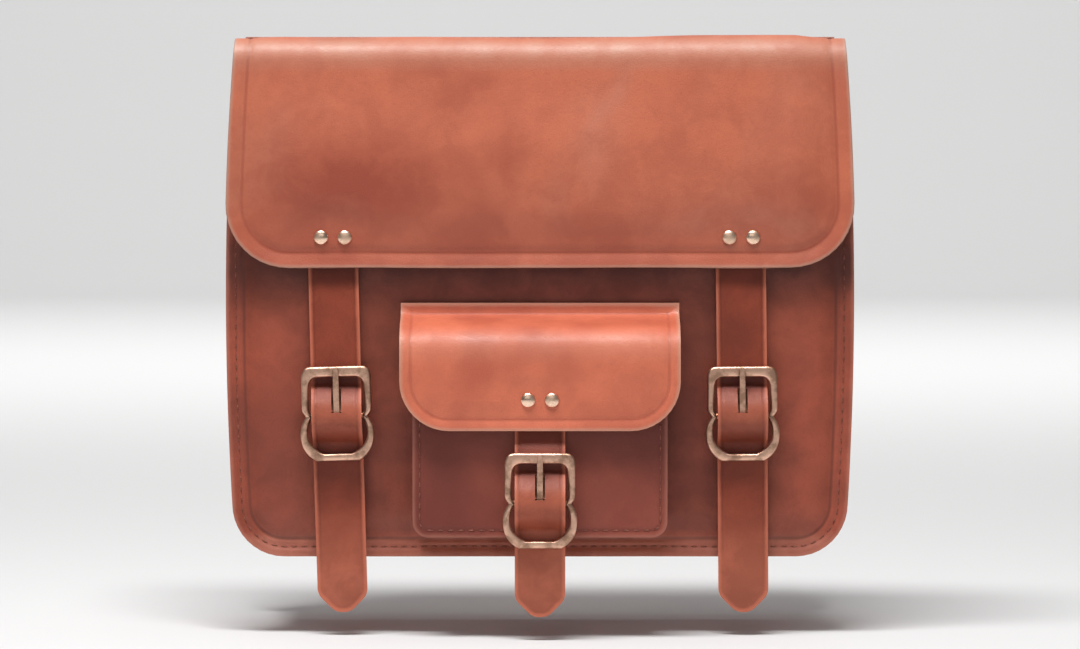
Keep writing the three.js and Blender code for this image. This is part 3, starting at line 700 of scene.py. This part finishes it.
def on_pocket_band(x, run, inset):
    share = x / pocket_deep + 0.5
    pinch = math.sin(share * math.pi) * (0.9 * mm + noise.noise(Vector((run * 25, 1.1, 0.4))) * 0.6 * mm)
    point = along_u(run, *pocket_u, pinch)
    point.y = pocket_band_high.y - share * pocket_deep
    return point


pocket_band_hide, _ = cut_leather(
    pocket_deep, pocket_run, 0, 0, [0.7 * mm, 2 * mm],
    evenly(-pocket_deep / 2, pocket_deep / 2, 4 * mm), pocket_scores,
)
pocket_band = sheet_of_leather(
    "pocket_gusset_leather", pocket_band_hide, on_pocket_band, pocket_wall, pocket_leathers,
)
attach(pocket_band, "bag")
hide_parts("pocket_gusset")


def on_pocket(x, down, inset):
    z = pocket_high.z - down
    lumps = 0.3 * mm + noise.noise(Vector((x * 22, 8.3, z * 22))) * 0.5 * mm
    out = smooth_step(inset, 5 * mm, 18 * mm) * lumps
    out += groove(inset, pocket_seam_line, 1.3 * mm, 0.5 * mm)
    return Vector((x, pocket_low.y - out, z))


pocket_length = pocket_high.z - pocket_low.z
pocket_hide, pocket_lines = cut_leather(
    2 * pocket_half, pocket_length, pocket_corner, 0,
    [0.8 * mm, 2.3 * mm, pocket_seam_line, 4.9 * mm, 6.6 * mm],
    evenly(-pocket_half, pocket_half, 6 * mm), evenly(0, pocket_length, 6 * mm),
)
pocket_front = sheet_of_leather(
    "pocket_front_leather", pocket_hide, on_pocket, pocket_wall, pocket_leathers,
    # painted shade on the pocket's upper front, under the pocket flap
    pull_and_painted_light_at=lambda x, down: -0.9 * smooth_step(down, 54 * mm, 36 * mm),
)
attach(pocket_front, "bag")
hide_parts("pocket_front")

pocket_seam = stitches(
    "pocket_seam", [sewn_round(pocket_lines[pocket_seam_line], 4 * mm)],
    lambda x, y: on_pocket(x, -y, pocket_seam_line) + Vector((0, -0.25 * mm, 0)), closed=False,
)
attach(pocket_seam, "bag")

# ---- Flap ----
# One big piece that covers the bag's mouth and bends down over the front. A strip of leather sewn
# to the back panel is its hinge. Its rim is creased all round and its lower edge lifts a little.


def smooth_run(points):
    """A smooth path through points (y, z): its length, and the point and direction along it."""
    fine = 10
    knots = [Vector((0, y, z)) for y, z in points]
    turns = [knots[1] - knots[0]] + [b - a for a, b in zip(knots, knots[2:])] + [knots[-1] - knots[-2]]
    dense = []
    for i, (start, end) in enumerate(zip(knots, knots[1:])):
        reach = (end - start).length / 3
        leave = start + turns[i].normalized() * reach
        arrive = end - turns[i + 1].normalized() * reach
        dense += interpolate_bezier(start, leave, arrive, end, fine + 1)[:-1]
    dense.append(knots[-1])
    reached = [0.0]
    for start, end in zip(dense, dense[1:]):
        reached.append(reached[-1] + (end - start).length)
    facing = [(dense[1] - dense[0]).normalized()]
    facing += [(b - a).normalized() for a, b in zip(dense, dense[2:])]
    facing.append((dense[-1] - dense[-2]).normalized())

    def at(run):
        run = min(max(run, 0), reached[-1])
        i = min(bisect.bisect_right(reached, run) - 1, len(dense) - 2)
        share = (run - reached[i]) / (reached[i + 1] - reached[i])
        return dense[i].lerp(dense[i + 1], share), facing[i].lerp(facing[i + 1], share).normalized()

    return reached[-1], at


def outward(direction):
    """The grain side of a path that runs downhill with the bag behind it."""
    return Vector((0, direction.z, -direction.y))


# The flap's leather is lighter than the body's partly as painted light from the lamp above. Its pale colour
# is desaturated to stand in for the sheen on the top bend, a painted highlight, and its dark colour serves
# the painted shade on the lower third.
flap_grain = grain_side(
    "flap_grain", (0.56, 0.148, 0.076), (0.32, 0.060, 0.030), (0.46, 0.275, 0.20), 8 * mm, 0.75,
)
flap_leathers = [flap_grain, flesh_side, raw_edge]
hem_low, hem_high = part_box("flap_hem")
flap_low, flap_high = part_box("flap_front")
strip_thickness = 2.4 * mm
strip_top = flap_high.z + strip_thickness
strip_length, strip_run = smooth_run([
    (0, hem_low.z), (0, hem_high.z - 10 * mm), (0, hem_high.z - 2 * mm), (-2 * mm, strip_top - 2.1 * mm),
    (-7 * mm, strip_top), (-14 * mm, strip_top), (-24 * mm, strip_top - 0.1 * mm),
])


def on_strip(x, down, inset):
    point, direction = strip_run(down)
    sunk = groove(inset, 4 * mm, 1.4 * mm, 0.4 * mm)
    return Vector((x, 0, 0)) + point + outward(direction) * sunk


strip_hide, _ = cut_leather(
    2 * hem_high.x, strip_length, 6 * mm, 6 * mm, [0.8 * mm, 2.7 * mm, 4 * mm, 5.3 * mm],
    evenly(-150 * mm, 150 * mm, 12 * mm), evenly(8 * mm, strip_length - 8 * mm, 2.2 * mm),
)
hinge_strip = sheet_of_leather(
    "hinge_strip_leather", strip_hide, on_strip, strip_thickness, flap_leathers,
)
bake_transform(hinge_strip, "bag", "flap_top", (0, 1 * mm, 116 * mm), (0, -14 * mm, 134 * mm))
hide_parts("flap_hem")

flap_bend = 12 * mm
bend_low = flap_high.z - flap_bend
flap_face = flap_low.y
flap_start = -9.5 * mm
top_run = flap_start - (flap_face + flap_bend)
turn_run = flap_bend * math.pi / 2
flap_length = top_run + turn_run + bend_low - flap_low.z
flap_edge = 15.5 * mm
left_strap_at, right_strap_at = -105 * mm, 102 * mm
rivet_rise = 15.5 * mm
rivet_aside = 6 * mm
flap_rivets = [
    (x + side, flap_edge + rivet_rise)
    for x in (left_strap_at, right_strap_at) for side in (-rivet_aside, rivet_aside)
]


def on_flap(x, down, inset):
    """The flap's grain side: back over the top, round the bend, then down the front."""
    turn = min(max((down - top_run) / flap_bend, 0), math.pi / 2)
    y = flap_start - min(down, top_run) - flap_bend * math.sin(turn)
    z = flap_high.z - flap_bend * (1 - math.cos(turn)) - max(down - top_run - turn_run, 0)
    near = min(math.hypot(x * body_bow(z) - rx, z - rz) for rx, rz in flap_rivets)
    free = smooth_step(near, 4 * mm, 20 * mm)
    fall = smooth_step(down, top_run * 0.6, top_run + turn_run)
    lumps = 1.5 * mm + noise.noise(Vector((x * 11, 0.7, z * 14))) * 2.2 * mm
    lumps += noise.noise(Vector((x * 30, 4.4, z * 34))) * 0.6 * mm
    hang_top = bend_low + 4 * mm
    fullness = math.sin(math.pi * smooth_step(hang_top - z, 0, hang_top - flap_low.z)) * 5.2 * mm
    fullness *= smooth_step(inset, 2 * mm, 40 * mm)
    out = smooth_step(inset, 6 * mm, 34 * mm) * free * max(lumps + fullness, 0) * (0.35 + 0.65 * fall)
    hanging = smooth_step(down, top_run + turn_run * 0.8, top_run + turn_run + 45 * mm)
    out += hanging * free * smooth_step(inset, 6.8 * mm, 0.5 * mm) * 1.6 * mm
    out += groove(inset, 8 * mm, 1.8 * mm, 0.8 * mm)
    wave = noise.noise(Vector((x * 16, 2.9, 0.3))) * 0.5 * mm
    point = Vector((x * body_bow(z), y, z + wave * smooth_step(down, top_run + turn_run, flap_length)))
    return point + Vector((0, -math.sin(turn), math.cos(turn))) * out


def flap_pull_and_painted_light(x, down):
    """Pale over the bend, partly pulled-up leather and partly a painted highlight, two darker patches, and
    painted shade on the lower third.
    """
    z = bend_low - (down - top_run - turn_run)
    dark = 1.1 * hump(math.hypot((x + 96 * mm) / 2.1, z - 58 * mm), 0, 42 * mm)
    dark += 0.5 * hump(math.hypot((x - 128 * mm) / 1.4, z - 48 * mm), 0, 30 * mm)
    # painted shade, darker towards the bottom of the flap
    low = 0.55 * smooth_step(z, 62 * mm, 20 * mm)
    return 0.7 * hump(down, top_run + turn_run * 0.62, turn_run * 0.75) - max(dark, low)


flap_rings = [0.9, 2.4, 4.2, 6.2, 8, 9.8, 13, 18, 26]
flap_hide, _ = cut_leather(
    body_width, flap_length, 33 * mm, 0, [ring * mm for ring in flap_rings],
    evenly(-135 * mm, 135 * mm, 5.5 * mm),
    evenly(27 * mm, top_run, 9 * mm) + evenly(top_run, top_run + turn_run, 1.5 * mm)
    + [top_run, top_run + turn_run] + evenly(top_run + turn_run, flap_length - 24 * mm, 5.5 * mm),
)
flap = sheet_of_leather(
    "flap_leather_piece", flap_hide, on_flap, leather, flap_leathers, pull_and_painted_light_at=flap_pull_and_painted_light,
)
fold_start = (0, flap_face + 17 * mm, flap_high.z + 1 * mm)
fold_end = (0, flap_face - 0.3 * mm, flap_high.z - 20 * mm)
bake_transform(flap, "flap_top", "flap_front", fold_start, fold_end)
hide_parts("flap_top", "flap_front")

# ---- Pocket flap ----
# A smaller flap with a pale raw top edge, sewn to the front panel above the pocket. It leans out
# over the pocket's mouth, folds and hangs down over its front.

# A brighter copy of the flap leather: painted light, as the pocket flap hangs in the main flap's shade.
pocket_flap_grain = grain_side(
    "pocket_flap_grain", (0.67, 0.170, 0.088), (0.42, 0.085, 0.045), (0.56, 0.30, 0.21), 5.6 * mm, 0.8,
)
pocket_flap_leathers = [pocket_flap_grain, flesh_side, raw_edge]
pocket_hem_low, pocket_hem_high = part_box("pocket_flap_hem")
pocket_flap_low, pocket_flap_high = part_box("pocket_flap")
hem_face = pocket_hem_low.y
pocket_flap_face = -142.2 * mm
pocket_flap_edge = -65.7 * mm
pocket_rivet_height = pocket_flap_edge + rivet_rise
pocket_flap_length, pocket_flap_run = smooth_run([
    (hem_face, pocket_hem_high.z), (hem_face - 0.2 * mm, pocket_hem_high.z - 4.5 * mm),
    (-116.6 * mm, -9.4 * mm), (-124 * mm, -11.4 * mm), (-133 * mm, -14.4 * mm),
    (-139.7 * mm, -20.5 * mm), (pocket_flap_face + 0.2 * mm, -29 * mm),
    (pocket_flap_face, -46 * mm), (pocket_flap_face, pocket_flap_low.z),
])


def on_pocket_flap(x, down, inset):
    point, direction = pocket_flap_run(down)
    near = min(math.hypot(x - rx, point.z - pocket_rivet_height) for rx in (-rivet_aside, rivet_aside))
    free = smooth_step(near, 4 * mm, 15 * mm)
    lumps = 0.7 * mm + noise.noise(Vector((x * 20, 6.1, point.z * 24))) * 1.0 * mm
    out = smooth_step(inset, 5 * mm, 20 * mm) * free * max(lumps, 0)
    out += free * smooth_step(inset, 5 * mm, 1 * mm) * 0.6 * mm
    out += groove(inset, 5.6 * mm, 1.5 * mm, 0.4 * mm)
    return Vector((x, 0, 0)) + point + outward(direction) * out


pocket_flap_hide, _ = cut_leather(
    pocket_flap_high.x * 2, pocket_flap_length, 25 * mm, 0,
    [ring * mm for ring in (0.8, 2.2, 4, 5.6, 7.2, 10, 15)],
    evenly(-70 * mm, 70 * mm, 4.5 * mm), evenly(0, pocket_flap_length, 2.6 * mm),
)
pocket_flap = sheet_of_leather(
    "pocket_flap_leather", pocket_flap_hide, on_pocket_flap, leather, pocket_flap_leathers,
    # paler at the fold, partly pulled-up leather and partly a painted highlight, and pale along the top edge
    pull_and_painted_light_at=lambda x, down: 0.25 * hump(down, 38 * mm, 12 * mm) + 0.6 * hump(down, 0, 5 * mm),
)
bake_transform(pocket_flap, "bag", "pocket_flap", (0, -111.5 * mm, -6 * mm), (0, -118 * mm, -12.5 * mm))
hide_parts("pocket_flap_hem", "pocket_flap")

# ---- Buckles ----
# Cast antique-brass double buckles: a squarish frame above and a rounder loop below, on one centre
# bar. The bar carries a tongue and a short folded leather tab with half of a snap fastener.


def make_metal(name, bright, dull, rough, tarnish):
    material, tree, shader, where = new_material(name)
    patina = noise_node(tree, where, 130, 5, 0.6)
    fine = noise_node(tree, where, 900, 3, 0.6)
    worn = band(tree, patina, 0.42, 0.62, 0, tarnish)
    tree.links.new(mixed(tree, worn, (*bright, 1), (*dull, 1)), shader.inputs["Base Color"])
    tree.links.new(band(tree, patina, 0.35, 0.65, rough, rough + 0.2), shader.inputs["Roughness"])
    shader.inputs["Metallic"].default_value = 1
    bump(tree, shader, fine, 0.25, 0.08 * mm)
    return material


brass = make_metal("antique_brass", (0.76, 0.47, 0.34), (0.27, 0.15, 0.095), 0.30, 0.75)
rivet_metal = make_metal("pale_brass", (0.90, 0.64, 0.48), (0.60, 0.38, 0.25), 0.22, 0.4)

wire = 1.8 * mm
bar_out = 10.6 * mm
frame_half = 17.8 * mm
loop_half = 18.8 * mm
frame_rise = 25.3 * mm
loop_fall = 22.7 * mm
side_width = 3.7 * mm
top_width = 5.4 * mm
waist_pinch = 2.4 * mm


def quarter(start, corner, end, count=7):
    """Points of a curve from start to end, pulled towards the corner."""
    start, corner, end = (Vector((*point, 0)) for point in (start, corner, end))
    first = start.lerp(corner, 2 / 3)
    second = end.lerp(corner, 2 / 3)
    return list(interpolate_bezier(start, first, second, end, count))


def buckle_edge(inset, top_inset):
    """The outline of frame and loop, drawn in by these amounts at the sides and at the top bar."""
    half, loop = frame_half - inset, loop_half - inset
    waist = half - waist_pinch
    top, bottom = frame_rise - top_inset, -loop_fall + inset
    right = quarter((half - 5 * mm, top), (half, top), (half, top - 6 * mm))
    right += quarter((half, 4.5 * mm), (half, 1.5 * mm), (waist, 0))
    right += quarter((waist, 0), (loop, -3 * mm), (loop, -9 * mm))[1:]
    right += quarter((loop, -9 * mm), (loop, bottom + 4 * mm), (loop - 8 * mm, bottom), 9)[1:]
    left = [Vector((-p.x, p.y, 0)) for p in reversed(right)]
    return right + left


def closed_line(drawing, points):
    verts = [drawing.verts.new(p) for p in points]
    return [drawing.edges.new((a, b)) for a, b in zip(verts, verts[1:] + verts[:1])]


def make_buckle(name, body, node, fixing, out=bar_out):
    """Cast frame: two outlines bridged into a ring, thickened and rounded, with its centre bar."""
    cast = bmesh.new()
    edges = closed_line(cast, buckle_edge(0, 0)) + closed_line(cast, buckle_edge(side_width, top_width))
    bmesh.ops.bridge_loops(cast, edges=edges)
    bmesh.ops.recalc_face_normals(cast, faces=cast.faces)
    turn = Matrix.Rotation(math.pi / 2, 4, "X")
    lie = fixing @ Matrix.Translation((0, -out - wire, 0)) @ turn
    front_verts = grown_verts(bmesh.ops.extrude_face_region(cast, geom=cast.faces[:]))
    bmesh.ops.translate(cast, verts=front_verts, vec=(0, 0, -2 * wire))
    bmesh.ops.recalc_face_normals(cast, faces=cast.faces)
    sharp = [e for e in cast.edges if e.calc_face_angle(0) > math.radians(50)]
    bmesh.ops.bevel(
        cast, geom=sharp, offset=1.25 * mm, offset_type="OFFSET", segments=4,
        profile=0.5, affect="EDGES", material=-1,
    )
    bmesh.ops.transform(cast, matrix=lie, verts=cast.verts)
    bar_length = 2 * (frame_half - waist_pinch) - side_width
    across = fixing @ Matrix.Translation((0, -out, 0)) @ Matrix.Rotation(math.pi / 2, 4, "Y")
    bmesh.ops.create_cone(
        cast, cap_ends=True, segments=24, radius1=wire * 0.92, radius2=wire * 0.92,
        depth=bar_length, matrix=across,
    )
    piece = keep_piece(name, cast, [brass])
    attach(piece, body)
    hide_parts(node)


def arc(centre_out, radius, start, stop, step=30):
    """Points (y, z) round a bar that stands this far out, angles from straight out, upwards."""
    count = max(2, round(abs(stop - start) / step))
    angles = [math.radians(start + (stop - start) * i / count) for i in range(count + 1)]
    return [(-centre_out - radius * math.cos(a), radius * math.sin(a)) for a in angles]


def make_tongue(name, body, node, fixing, out=bar_out):
    """A flat pin bent round the bar, up through the strap's slot and over the frame's top bar."""
    lie_out = out + 3.1 * mm
    points = arc(out, 3 * mm, -200, -10)
    points += [(-lie_out, 5 * mm), (-lie_out - 0.1 * mm, 14 * mm), (-lie_out, frame_rise - 0.5 * mm)]
    length, run = smooth_run(points)
    pin, _ = cut_leather(3.4 * mm, length, 1.5 * mm, 0, [0.6 * mm], [0], evenly(0, length, 1 * mm))

    def place(x, down, inset):
        point, direction = run(down)
        return fixing @ (Vector((x * (1.1 - 0.25 * down / length), 0, 0)) + point)

    piece = sheet_of_leather(name, pin, place, 1.6 * mm, [brass, brass, brass], offset=0, edge=0.65 * mm)
    piece.modifiers["edge"].segments = 3
    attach(piece, body)
    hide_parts(node)


slot_half = 2.5 * mm


def cut_slot(hide, start, end):
    """Takes the tongue's slot out of the middle of a piece, between these two places along it."""
    gone = []
    for face in hide.faces:
        at = face.calc_center_median()
        if abs(at.x) < slot_half and start < -at.y < end:
            gone.append(face)
    bmesh.ops.delete(hide, geom=gone, context="FACES")


def make_tab(name, body, node, fixing):
    """A leather tab folded round the bar, its flesh sides together, open where the tongue sits."""
    wrap = 4.1 * mm
    points = arc(bar_out, wrap, 50, -180, 23) + [(-5.1 * mm, 3.6 * mm), (-3.8 * mm, 7 * mm)]
    points += [(-3.6 * mm, z) for z in (10 * mm, 14 * mm, 19 * mm)]
    length, run = smooth_run(points)
    ring_end = math.radians(230) * wrap
    hide, _ = cut_leather(
        20 * mm, length, 5 * mm, 0, [0.6 * mm, 1.6 * mm, 2.2 * mm, 2.8 * mm],
        evenly(-10 * mm, 10 * mm, 4 * mm) + [-slot_half, slot_half],
        evenly(0, ring_end, 0.9 * mm) + [ring_end] + evenly(ring_end, length, 2.5 * mm),
    )
    cut_slot(hide, 1 * mm, ring_end - 1 * mm)

    def place(x, down, inset):
        point, direction = run(down)
        return fixing @ (Vector((x, 0, 0)) + point)

    piece = sheet_of_leather(name, hide, place, 1.9 * mm, strap_leathers, edge=0.3 * mm)
    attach(piece, body)
    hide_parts(node)


# each closure's place across, the leather's face, its flap's edge, its bar's height and its lean
closures = []
for name, x, face, edge, bar, lean in (
    ("left", left_strap_at, -110 * mm, flap_edge, -59.5 * mm, -1.6),
    ("right", right_strap_at, -110 * mm, flap_edge, -59.5 * mm, -0.5),
    ("pocket", 0.0, -135 * mm, pocket_flap_edge, -101.9 * mm, 0.0),
):
    hinge = edge - 0.5 * mm
    hang = Matrix.Translation((x, face, hinge)) @ Matrix.Rotation(math.radians(lean), 4, "Y")
    fixing = hang @ Matrix.Translation((0, 0, bar - hinge))
    closures.append((name, x, face, edge, hinge, bar, math.radians(lean), fixing))
    make_buckle(f"{name}_buckle_cast", f"{name}_strap", f"{name}_buckle", fixing)
    make_tongue(f"{name}_tongue_pin", f"{name}_tongue", f"{name}_tongue", fixing)
    make_tab(f"{name}_tab_leather", f"{name}_strap", f"{name}_buckle_tab", fixing)

# ---- Closing straps ----
# Three long straps, riveted under the flaps. Each runs behind its buckle's top bar, over the centre
# bar and tongue, behind the lower bar, and its creased tail hangs free below the bag.

strap_width = 25.4 * mm
strap_thickness = 2.6 * mm
strap_tip = -159.6 * mm
strap_rings = [0.6 * mm, 1.7 * mm, 2.3 * mm, 2.9 * mm]


def through_buckle(out=0.0):
    """A strap's middle line past a buckle: behind the top bar, over the centre bar, behind again."""
    steps = [(7.2, 23.6), (7.2, 16.4), (11.98, 10.6), (15.75, 5.2), (16.75, 0)]
    steps += [(15.65, -5), (11.4, -9.4), (7.2, -13.8), (7.2, -21.9)]
    return [(-forward * mm - out, z * mm) for forward, z in steps]


def cut_strap(length, slot_start, slot_end, fine_start, fine_end, width=strap_width, tip=9 * mm):
    """Cuts a strap with a pointed tip and a slot, scored finely where it passes the buckle."""
    hide, _ = cut_leather(
        width, length, tip, 0, strap_rings,
        evenly(-width / 2, width / 2, 3.6 * mm) + [-slot_half, slot_half],
        evenly(0, fine_start, 5 * mm) + evenly(fine_start, slot_start, 1.6 * mm)
        + [fine_start, slot_start, slot_end, fine_end] + evenly(slot_start, slot_end, 1.6 * mm)
        + evenly(slot_end, fine_end, 1.6 * mm) + evenly(fine_end, length - 12 * mm, 5 * mm),
        clipped=True,
    )
    cut_slot(hide, slot_start, slot_end)
    return hide


def where_on(run, length, wanted, near_start=0.0):
    """How far along a path it first comes down to this height."""
    steps = 800
    for i in range(steps):
        down = near_start + (length - near_start) * i / steps
        if run(down)[0].z <= wanted:
            return down
    return length


for name, x, face, edge, hinge, bar, lean, fixing in closures:
    points = [(-2.5 * mm, z) for z in (edge + 27.3 * mm, edge + 12 * mm, hinge - 0.3 * mm)]
    points += [(-2.9 * mm, hinge - 5 * mm)]
    points += [(y, z + bar) for y, z in through_buckle()]
    points += [(-6.2 * mm, bar - 34.9 * mm), (-4.9 * mm, strap_tip)]
    length, run = smooth_run([(y + face, z) for y, z in points])
    strap_hide = cut_strap(
        length, where_on(run, length, bar + 13.5 * mm), where_on(run, length, bar + 2 * mm),
        where_on(run, length, bar + 24 * mm), where_on(run, length, bar - 22 * mm),
    )

    def on_strap(across, down, inset):
        point, direction = run(down)
        below = max(hinge - point.z, 0)
        sideways = x + across + below * math.sin(-lean)
        lumps = noise.noise(Vector((across * 30 + x * 9, 1.3, point.z * 26))) * 0.35 * mm
        rise = strap_thickness / 2 + groove(inset, 2.3 * mm, 0.8 * mm, 0.35 * mm)
        curl = smooth_step(bar - point.z, 30 * mm, 95 * mm) * (across / strap_width) ** 2 * 2.5 * mm
        return Vector((sideways, 0, 0)) + point + outward(direction) * (rise + lumps - curl)

    crown = where_on(run, length, bar)
    mouth = where_on(run, length, edge)

    # Paler over the centre bar, partly pulled-up leather and partly a painted highlight; painted light on the
    # lower tails; painted shade where the strap comes from under the flap's edge and in the shadow behind the
    # top bar.
    def strap_pull_and_painted_light(across, down):
        pale_and_painted_highlight = 0.6 * hump(down, crown - 3 * mm, 15 * mm)
        pale_and_painted_highlight += 0.75 * smooth_step(down, length - 62 * mm, length - 18 * mm)
        return pale_and_painted_highlight - 0.9 * hump(down, mouth, 16 * mm) - 1.2 * hump(down, crown - 20 * mm, 7.5 * mm)

    strap = sheet_of_leather(
        f"{name}_strap_leather", strap_hide, on_strap, strap_thickness, strap_leathers,
        pull_and_painted_light_at=strap_pull_and_painted_light,
    )
    parent = "pocket_flap" if name == "pocket" else "flap_front"
    hinge_y = face - 3.9 * mm
    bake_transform(strap, parent, f"{name}_strap", (0, hinge_y, hinge + 4 * mm), (0, hinge_y, hinge - 6 * mm))
    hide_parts(f"{name}_strap_root", f"{name}_strap")

# ---- Rivets and snaps ----
# Pairs of domed brass rivets hold each strap to its flap, with a flat burr behind. Under each
# buckle's tab a spring socket clips on to a stud in the panel.


def turned(metal, profile, place):
    """Spins a profile of (radius, how far out) round its axis and sets it on the leather."""
    verts = [metal.verts.new((r, 0, out)) for r, out in profile]
    edges = [metal.edges.new(pair) for pair in zip(verts, verts[1:])]
    bmesh.ops.spin(
        metal, geom=verts + edges, cent=(0, 0, 0), axis=(0, 0, 1), angle=2 * math.pi,
        steps=28, use_merge=True,
    )
    bmesh.ops.remove_doubles(metal, verts=metal.verts, dist=0.002 * mm)
    new_verts = [v for v in metal.verts if not v.tag]
    bmesh.ops.transform(metal, matrix=place @ Matrix.Rotation(math.pi / 2, 4, "X"), verts=new_verts)
    for vert in metal.verts:
        vert.tag = True
    bmesh.ops.recalc_face_normals(metal, faces=metal.faces)


def dome_profile(back, seat):
    """Burr behind, shank, and a domed head whose rim presses on the leather."""
    dome, rise, shank = 3.75 * mm, 1.8 * mm, 1.5 * mm
    burr, burr_front = dome - 0.7 * mm, back + 0.7 * mm
    rim = seat + 0.25 * mm
    points = [(0, back), (burr, back), (burr, burr_front), (shank, burr_front)]
    points += [(shank, seat), (dome, seat), (dome, rim)]
    for i in range(1, 7):
        turn = math.radians(90 * i / 6)
        points.append((dome * math.cos(turn) if i < 6 else 0, rim + (rise - 0.25 * mm) * math.sin(turn)))
    return points


for name, x, face, edge, hinge, bar, lean, fixing in closures:
    rivets = bmesh.new()
    for side in (-rivet_aside, rivet_aside):
        place = Matrix.Translation((x + side, face, edge + rivet_rise))
        turned(rivets, dome_profile(0.35 * mm, 7.3 * mm), place)
    pair = keep_piece(f"{name}_rivet_pair", rivets, [rivet_metal])
    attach(pair, "pocket_flap" if name == "pocket" else "flap_front")
    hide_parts(f"{name}_rivet_1", f"{name}_rivet_2")

    snap = fixing @ Matrix.Translation((0, 0, 13 * mm))
    socket = bmesh.new()
    turned(socket, [(radius * mm, out * mm) for radius, out in (
        (0, 2.85), (4.8, 2.85), (4.8, 1.1), (5.4, 1.0), (6, 1.3),
        (6, 3.2), (5.6, 3.45), (1.5, 3.45), (1.5, 4.95), (0, 4.95),
    )], snap)
    socket_piece = keep_piece(f"{name}_socket_metal", socket, [rivet_metal])
    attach(socket_piece, f"{name}_strap")
    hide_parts(f"{name}_snap_socket")
    stud = bmesh.new()
    turned(stud, [(radius * mm, out * mm) for radius, out in (
        (0, -2), (1.5, -2), (1.5, 0.1), (6, 0.1), (5.8, 0.7),
        (2.7, 0.8), (3.2, 1.8), (2.9, 2.25), (2.2, 2.4), (0, 2.4),
    )], snap)
    stud_piece = keep_piece(f"{name}_stud_metal", stud, [rivet_metal])
    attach(stud_piece, "bag")
    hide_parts(f"{name}_snap_stud")

# ---- Rear mounting straps ----
# Two thinner straps that tie the bag to its carrier. Each is folded round its buckle's bar, runs up
# behind a leather bridge riveted through the back panel, and comes back down through its buckle.

rear_gap = 24 * mm
rear_thickness = 2 * mm
rear_width = 25 * mm
rear_half = rear_thickness / 2
rear_place = 95 * mm
bridge_low, bridge_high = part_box("left_bridge")
bridge_half = 26 * mm
bridge_length = bridge_high.z - bridge_low.z
arch_half = 13.5 * mm


def end_turn(centre_out, height, radius, way):
    """Points of the strap's turn at its top (way 1) or bottom (way -1), in millimetres."""
    angles = [math.radians(a) for a in (30, 60, 90, 120, 150)]
    return [(centre_out + way * radius * math.cos(a), height + way * radius * math.sin(a)) for a in angles]


for side, name in ((-1, "left"), (1, "right")):
    fixing = Matrix.Translation((side * rear_place, -2.5 * mm, 0)) @ Matrix.Rotation(math.pi, 4, "Z")
    rear_bar = rear_gap + bar_out
    make_buckle(f"{name}_rear_buckle_cast", "bag", f"{name}_rear_buckle", fixing, rear_bar)
    make_tongue(f"{name}_rear_tongue_pin", f"{name}_rear_tongue", f"{name}_rear_tongue", fixing, rear_bar)
    points = [(-rear_bar - 2.2 * mm, 2.2 * mm), (-rear_bar, 3.1 * mm), (-rear_bar + 2.2 * mm, 2.2 * mm)]
    loop = [(-31.5, 0), (-31, -3), (-28.9, -6), (-28.6, -9), (-28.6, -20), (-28.6, -32)]
    loop += end_turn(-15.1, -32, 13.5, -1) + [(-1.6, -32), (-1.6, 0), (-1.6, 32)]
    loop += end_turn(-16.4, 32, 14.8, 1)
    points += [(y * mm, z * mm) for y, z in loop] + through_buckle(rear_gap)
    points += [(-31.4 * mm, -32 * mm), (-30.2 * mm, -42 * mm)]
    length, run = smooth_run(points)
    slot_start = where_on(run, length, 15.5 * mm, length * 0.72)
    slot_end = where_on(run, length, 2 * mm, slot_start)
    rear_hide = cut_strap(
        length, slot_start, slot_end, 32 * mm, length - 16 * mm, rear_width, 8 * mm,
    )

    def on_rear(across, down, inset):
        point, direction = run(down)
        narrow = 20 / 25 if down < 12 * mm else 1
        rise = rear_half + groove(inset, 2.3 * mm, 0.8 * mm, 0.3 * mm)
        return fixing @ (Vector((across * narrow, 0, 0)) + point + outward(direction) * rise)

    cut_slot(rear_hide, 0, 9 * mm)
    rear_strap = sheet_of_leather(
        f"{name}_rear_strap_leather", rear_hide, on_rear, rear_thickness, strap_leathers, edge=0.3 * mm,
    )
    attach(rear_strap, "bag")
    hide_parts(f"{name}_rear_strap")

    def on_bridge(across, down, inset):
        lifted = smooth_step(abs(across), arch_half + 2.2 * mm, arch_half - 1.2 * mm)
        out = 2 * mm + lifted * 3.2 * mm + groove(inset, 2.3 * mm, 0.8 * mm, 0.3 * mm)
        return fixing @ Vector((across, -out, bridge_high.z - down))

    bridge_hide, _ = cut_leather(
        2 * bridge_half, bridge_length, 6 * mm, 6 * mm, strap_rings,
        evenly(-bridge_half, bridge_half, 1.1 * mm), evenly(0, bridge_length, 5 * mm),
    )
    bridge = sheet_of_leather(
        f"{name}_bridge_leather", bridge_hide, on_bridge, 1.9 * mm, strap_leathers, edge=0.3 * mm,
    )
    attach(bridge, "bag")
    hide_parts(f"{name}_bridge")

    rivets = bmesh.new()
    for end in (-21 * mm, 21 * mm):
        turned(rivets, dome_profile(-6.2 * mm, 2.1 * mm), fixing @ Matrix.Translation((end, 0, 0)))
    pair = keep_piece(f"{name}_bridge_rivet_pair", rivets, [rivet_metal])
    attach(pair, "bag")
    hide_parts(f"{name}_bridge_rivet_1", f"{name}_bridge_rivet_2")
